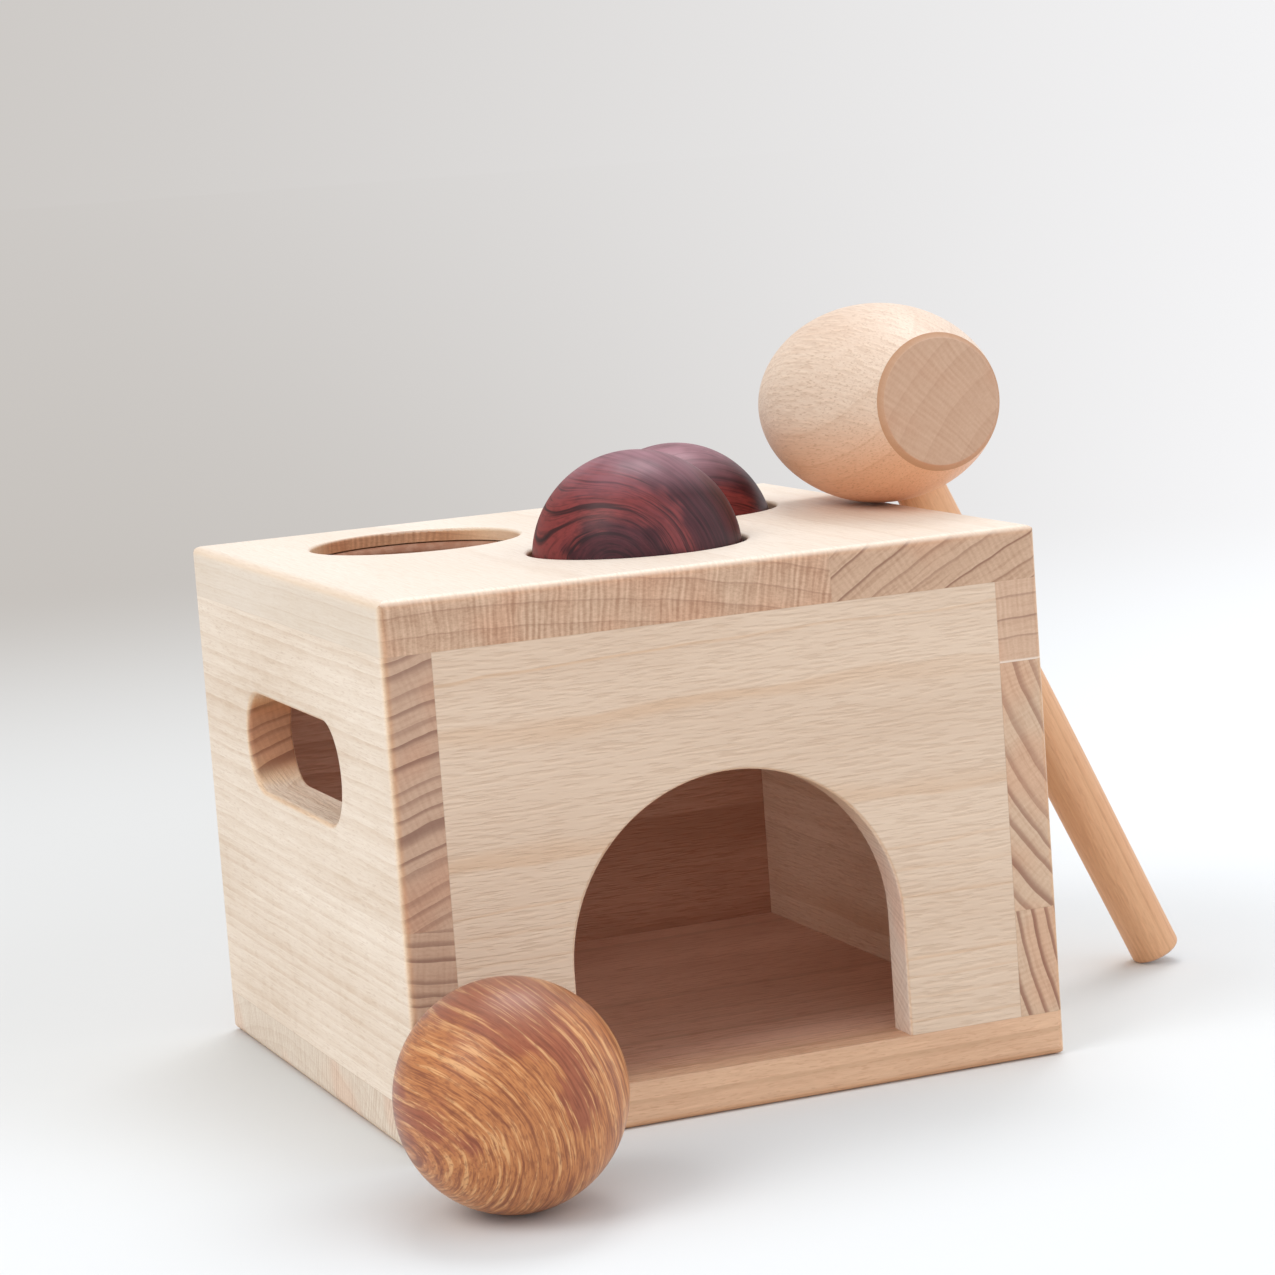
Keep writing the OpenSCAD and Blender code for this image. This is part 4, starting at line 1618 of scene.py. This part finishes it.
class RoomGlow(NodeGroup):
    """The colour of the room in a direction: a pale room with a greyer side and a bright side.

    Both sides fade with the angle round the upright axis alone, so the far floor can take
    the same colour and the two meet without a line.
    """

    title = "room_glow"
    takes = ports(vectors="Direction, Grey Side, Bright Side")
    gives = ports(colours="Glow")
    PALE: ClassVar[Colour] = shade(0.85, 0.85, 0.86)
    GREY: ClassVar[Colour] = shade(0.57, 0.54, 0.51)
    GREY_SPAN: ClassVar[Span] = (0.55, 0.95)
    BRIGHT: ClassVar[Colour] = shade(1.10, 1.10, 1.12)
    BRIGHT_SPAN: ClassVar[Span] = (0.0, 1.0)

    def draw(self, sheet: Sheet, given: dict[str, Socket]) -> dict[str, Socket]:
        """Levels the direction and compares it with the two sides.

        Args:
            sheet: the group's tree.
            given: the group's inputs by name.

        Returns:
            The room's colour in the direction.
        """
        level = sheet.arrow("NORMALIZE", sheet.levelled(given["Direction"]))
        grey = sheet.step(sheet.arrow("DOT_PRODUCT", level, given["Grey Side"]), *self.GREY_SPAN)
        bright = sheet.step(sheet.arrow("DOT_PRODUCT", level, given["Bright Side"]), *self.BRIGHT_SPAN)
        return {"Glow": sheet.mix(bright, sheet.mix(grey, self.PALE, self.GREY), self.BRIGHT)}


@dataclass(frozen=True)
class Lamp:
    """A square soft light that the camera doesn't see. Its power is in watts."""

    name: str
    place: Triple
    aim: Triple
    size: float
    power: float
    tint: Triple

    def hang(self) -> None:
        """Hangs the light in its place and points it at its aim."""
        data = bpy.data.lights.new(self.name, "AREA")
        data.size = self.size
        data.energy = self.power
        data.color = self.tint
        lamp = bpy.data.objects.new(self.name, data)
        lamp.location = self.place
        lamp.rotation_mode = "QUATERNION"
        lamp.rotation_quaternion = (Vector(self.aim) - Vector(self.place)).to_track_quat("-Z", "Y")
        lamp.visible_camera = False
        bpy.context.scene.collection.objects.link(lamp)


@dataclass
class Studio:
    """The pale floor, the soft light and the camera."""

    floor_radii: tuple[float, ...] = (0.02, 0.1, 0.3, 0.6, 1.0, 2.0, 4.0, 8.0, 16.0)
    floor_around: int = 96
    floor_thickness: float = 0.01
    floor_colour: Colour = shade(0.755, 0.785, 0.80)
    floor_rough: Slope = (0.2, 0.6)
    mottle_scale: float = 40.0
    mottle_relief: float = 0.02 * MM
    near: float = 0.35
    far: float = 1.1
    glow_middle: Triple = (0.06, -0.10, 0.0)
    glow_start: float = 0.04
    glow_share: float = 0.5
    glow_lift: float = 1.18
    grey_bearing: float = -20.0
    bright_bearing: float = 100.0
    lamps: tuple[Lamp, ...] = (
        Lamp("key_light", (-2.6, -0.7, 2.9), (0.0, 0.0, 0.05), 2.0, 44.0, (1.0, 0.98, 0.96)),
        Lamp("top_light", (0.8, 1.5, 3.4), (0.0, 0.0, 0.1), 1.6, 44.0, (0.98, 0.98, 1.0)),
    )
    light_bounces: int = 6
    camera_azimuth: float = -20.903
    camera_elevation: float = 7.790
    camera_roll: float = -4.227
    camera_distance: float = 963.74 * MM
    camera_target: Triple = (31.67 * MM, 58.84 * MM, 87.25 * MM)
    camera_sight: Span = (0.05, 20.0)
    lens: float = 108.10
    sensor: float = 36.0

    def glow(self, sheet: Sheet, direction: Feed) -> Socket:
        """Works out the room's colour in a direction. Bearings run from the back to the right.

        Args:
            sheet: the tree of the world or of the floor's material.
            direction: the direction.

        Returns:
            The colour.
        """
        feeds: dict[str, Feed] = {"Direction": direction}
        for side, bearing in (("Grey Side", self.grey_bearing), ("Bright Side", self.bright_bearing)):
            angle = math.radians(bearing)
            feeds[side] = Vector((math.sin(angle), math.cos(angle), 0.0))
        return RoomGlow().place(sheet, feeds)["Glow"]

    def floor(self) -> None:
        """Makes the floor: a pale disc that fades into the room's own glow far from the box, and near the
        box takes painted light and shade from that glow.
        """
        rows = swept(np.array(self.floor_radii)[:, None], np.zeros(1), round_angles(self.floor_around))
        under = np.array((0.0, 0.0, -self.floor_thickness))
        floor = poled_surface("floor", np.vstack([rows, rows[::-1] + under]), np.zeros(3), under)
        material, sheet, shader = new_material("pale_floor")
        place = coordinates(sheet)["Place"]
        far = sheet.step(sheet.arrow("LENGTH", sheet.levelled(place)), self.near, self.far)
        black = shade(0.0, 0.0, 0.0)
        # Painted light and shade: near the box the floor takes part of the room's glow, greyer on its grey
        # side and brighter on its bright side.
        shifted = sheet.levelled(sheet.arrow("SUBTRACT", place, self.glow_middle))
        glow = self.glow(sheet, shifted)
        lifted = shade(*(self.glow_lift * part for part in self.floor_colour[:3]))
        spread = sheet.step(sheet.arrow("LENGTH", shifted), self.glow_start, self.near)
        share = sheet.times(spread, self.glow_share)
        near_colour = sheet.mix(share, self.floor_colour, sheet.tinted(1.0, glow, lifted))
        # Far from the box the floor gives off the room's glow itself, as a backdrop.
        sheet.feed(shader.inputs["Emission Color"], sheet.mix(far, black, glow))
        shader.inputs["Emission Strength"].default_value = 1.0
        shader.inputs["Specular IOR Level"].default_value = 0.0
        mottle = sheet.noise(sheet.scaled(place, self.mottle_scale), detail=3.0)
        found: dict[str, Feed] = {
            "Colour": sheet.mix(far, near_colour, black),
            "Roughness": sheet.line(mottle, *self.floor_rough),
            "Height": mottle,
        }
        finish_surface(sheet, shader, found, self.mottle_relief)
        dress(floor, material)

    def light(self) -> None:
        """Sets a pale room all round, a soft key from the upper left and a soft light overhead."""
        world = bpy.data.worlds.new("room")
        world.use_nodes = True
        sheet = Sheet(world.node_tree)
        direction = sheet.node("ShaderNodeTexCoord", {}).outputs["Generated"]
        sheet.feed(world.node_tree.nodes["Background"].inputs["Color"], self.glow(sheet, direction))
        bpy.context.scene.world = world
        bpy.context.scene.cycles.diffuse_bounces = self.light_bounces
        for lamp in self.lamps:
            lamp.hang()

    def camera(self) -> None:
        """Stands the camera at the photograph's angle, turned a little about its own axis."""
        azimuth = math.radians(self.camera_azimuth)
        elevation = math.radians(self.camera_elevation)
        roll = math.radians(self.camera_roll)
        level = math.cos(elevation)
        back = Vector((math.sin(azimuth) * level, -math.cos(azimuth) * level, math.sin(elevation)))
        side = Vector((0.0, 0.0, 1.0)).cross(back).normalized()
        up = back.cross(side)
        right = math.cos(roll) * side + math.sin(roll) * up
        upright = math.cos(roll) * up - math.sin(roll) * side
        turn = Matrix((right, upright, back)).transposed()
        data = bpy.data.cameras.new("camera")
        data.lens = self.lens
        data.sensor_width = self.sensor
        data.clip_start, data.clip_end = self.camera_sight
        camera = bpy.data.objects.new("camera", data)
        place = Vector(self.camera_target) + back * self.camera_distance
        camera.matrix_world = Matrix.Translation(place) @ turn.to_4x4()
        bpy.context.scene.collection.objects.link(camera)
        bpy.context.scene.camera = camera

    def build(self) -> None:
        """Sets up the camera, the light and the floor."""
        bpy.context.scene.view_settings.view_transform = "Standard"
        self.camera()
        self.light()
        self.floor()


def elastic_rings() -> list[ElasticRing]:
    """Lists the rings: two are squeezed flat round a ball, and the third is at rest.

    Returns:
        The rings.
    """
    squeezed = {"cord_width": 2.5 * MM, "flat_height": 1.253 * MM}
    return [
        ElasticRing("front_hole_ring", **squeezed),
        ElasticRing("rear_hole_ring", **squeezed),
        ElasticRing("empty_hole_ring", cord_width=3.2 * MM),
    ]


def balls() -> list[Ball]:
    """Lists the two dark balls in their holes and the golden one on the table.

    Returns:
        The balls.
    """
    return [
        Ball(
            "front_ball", ROSEWOOD, LogCut(Grain.DEPTH, 181.0, 13.2, sway=3.0, seed=163.1),
            "rosewood", axis_lean=(12.0, 20.0, 0.0), patch_side=(-1.05, 0.2, -0.1), patch_start=0.70,
        ),
        Ball(
            "rear_ball", replace(ROSEWOOD, painted_sheen_strength=0.95),
            LogCut(Grain.WIDTH, 110.0, 22.0, sway=2.0, seed=177.4),
            "rosewood", axis_lean=(40.0, -15.0, 0.0), patch_side=(-0.6, -0.6, -0.4), patch_start=0.9,
        ),
        Ball(
            "loose_ball", GOLDEN_HARDWOOD, LogCut(Grain.DEPTH, 203.0, 34.0, sway=3.0, seed=189.6),
            "golden_hardwood", axis_lean=(-25.0, 30.0, 0.0), patch_side=(-0.25, -0.05, 0.9),
            patch_start=0.72,
        ),
    ]


def main() -> None:
    """Builds the studio, the case, the rings, the balls and the hammer in order."""
    logging.basicConfig(level=logging.INFO, format="%(name)s: %(message)s")
    Studio().build()
    Case().build()
    elastic = ElasticFinish().material("elastic_brown")
    for ring in elastic_rings():
        ring.build(elastic)
    for ball in balls():
        ball.build()
    Hammer().build()


if __name__ == "__main__":
    main()
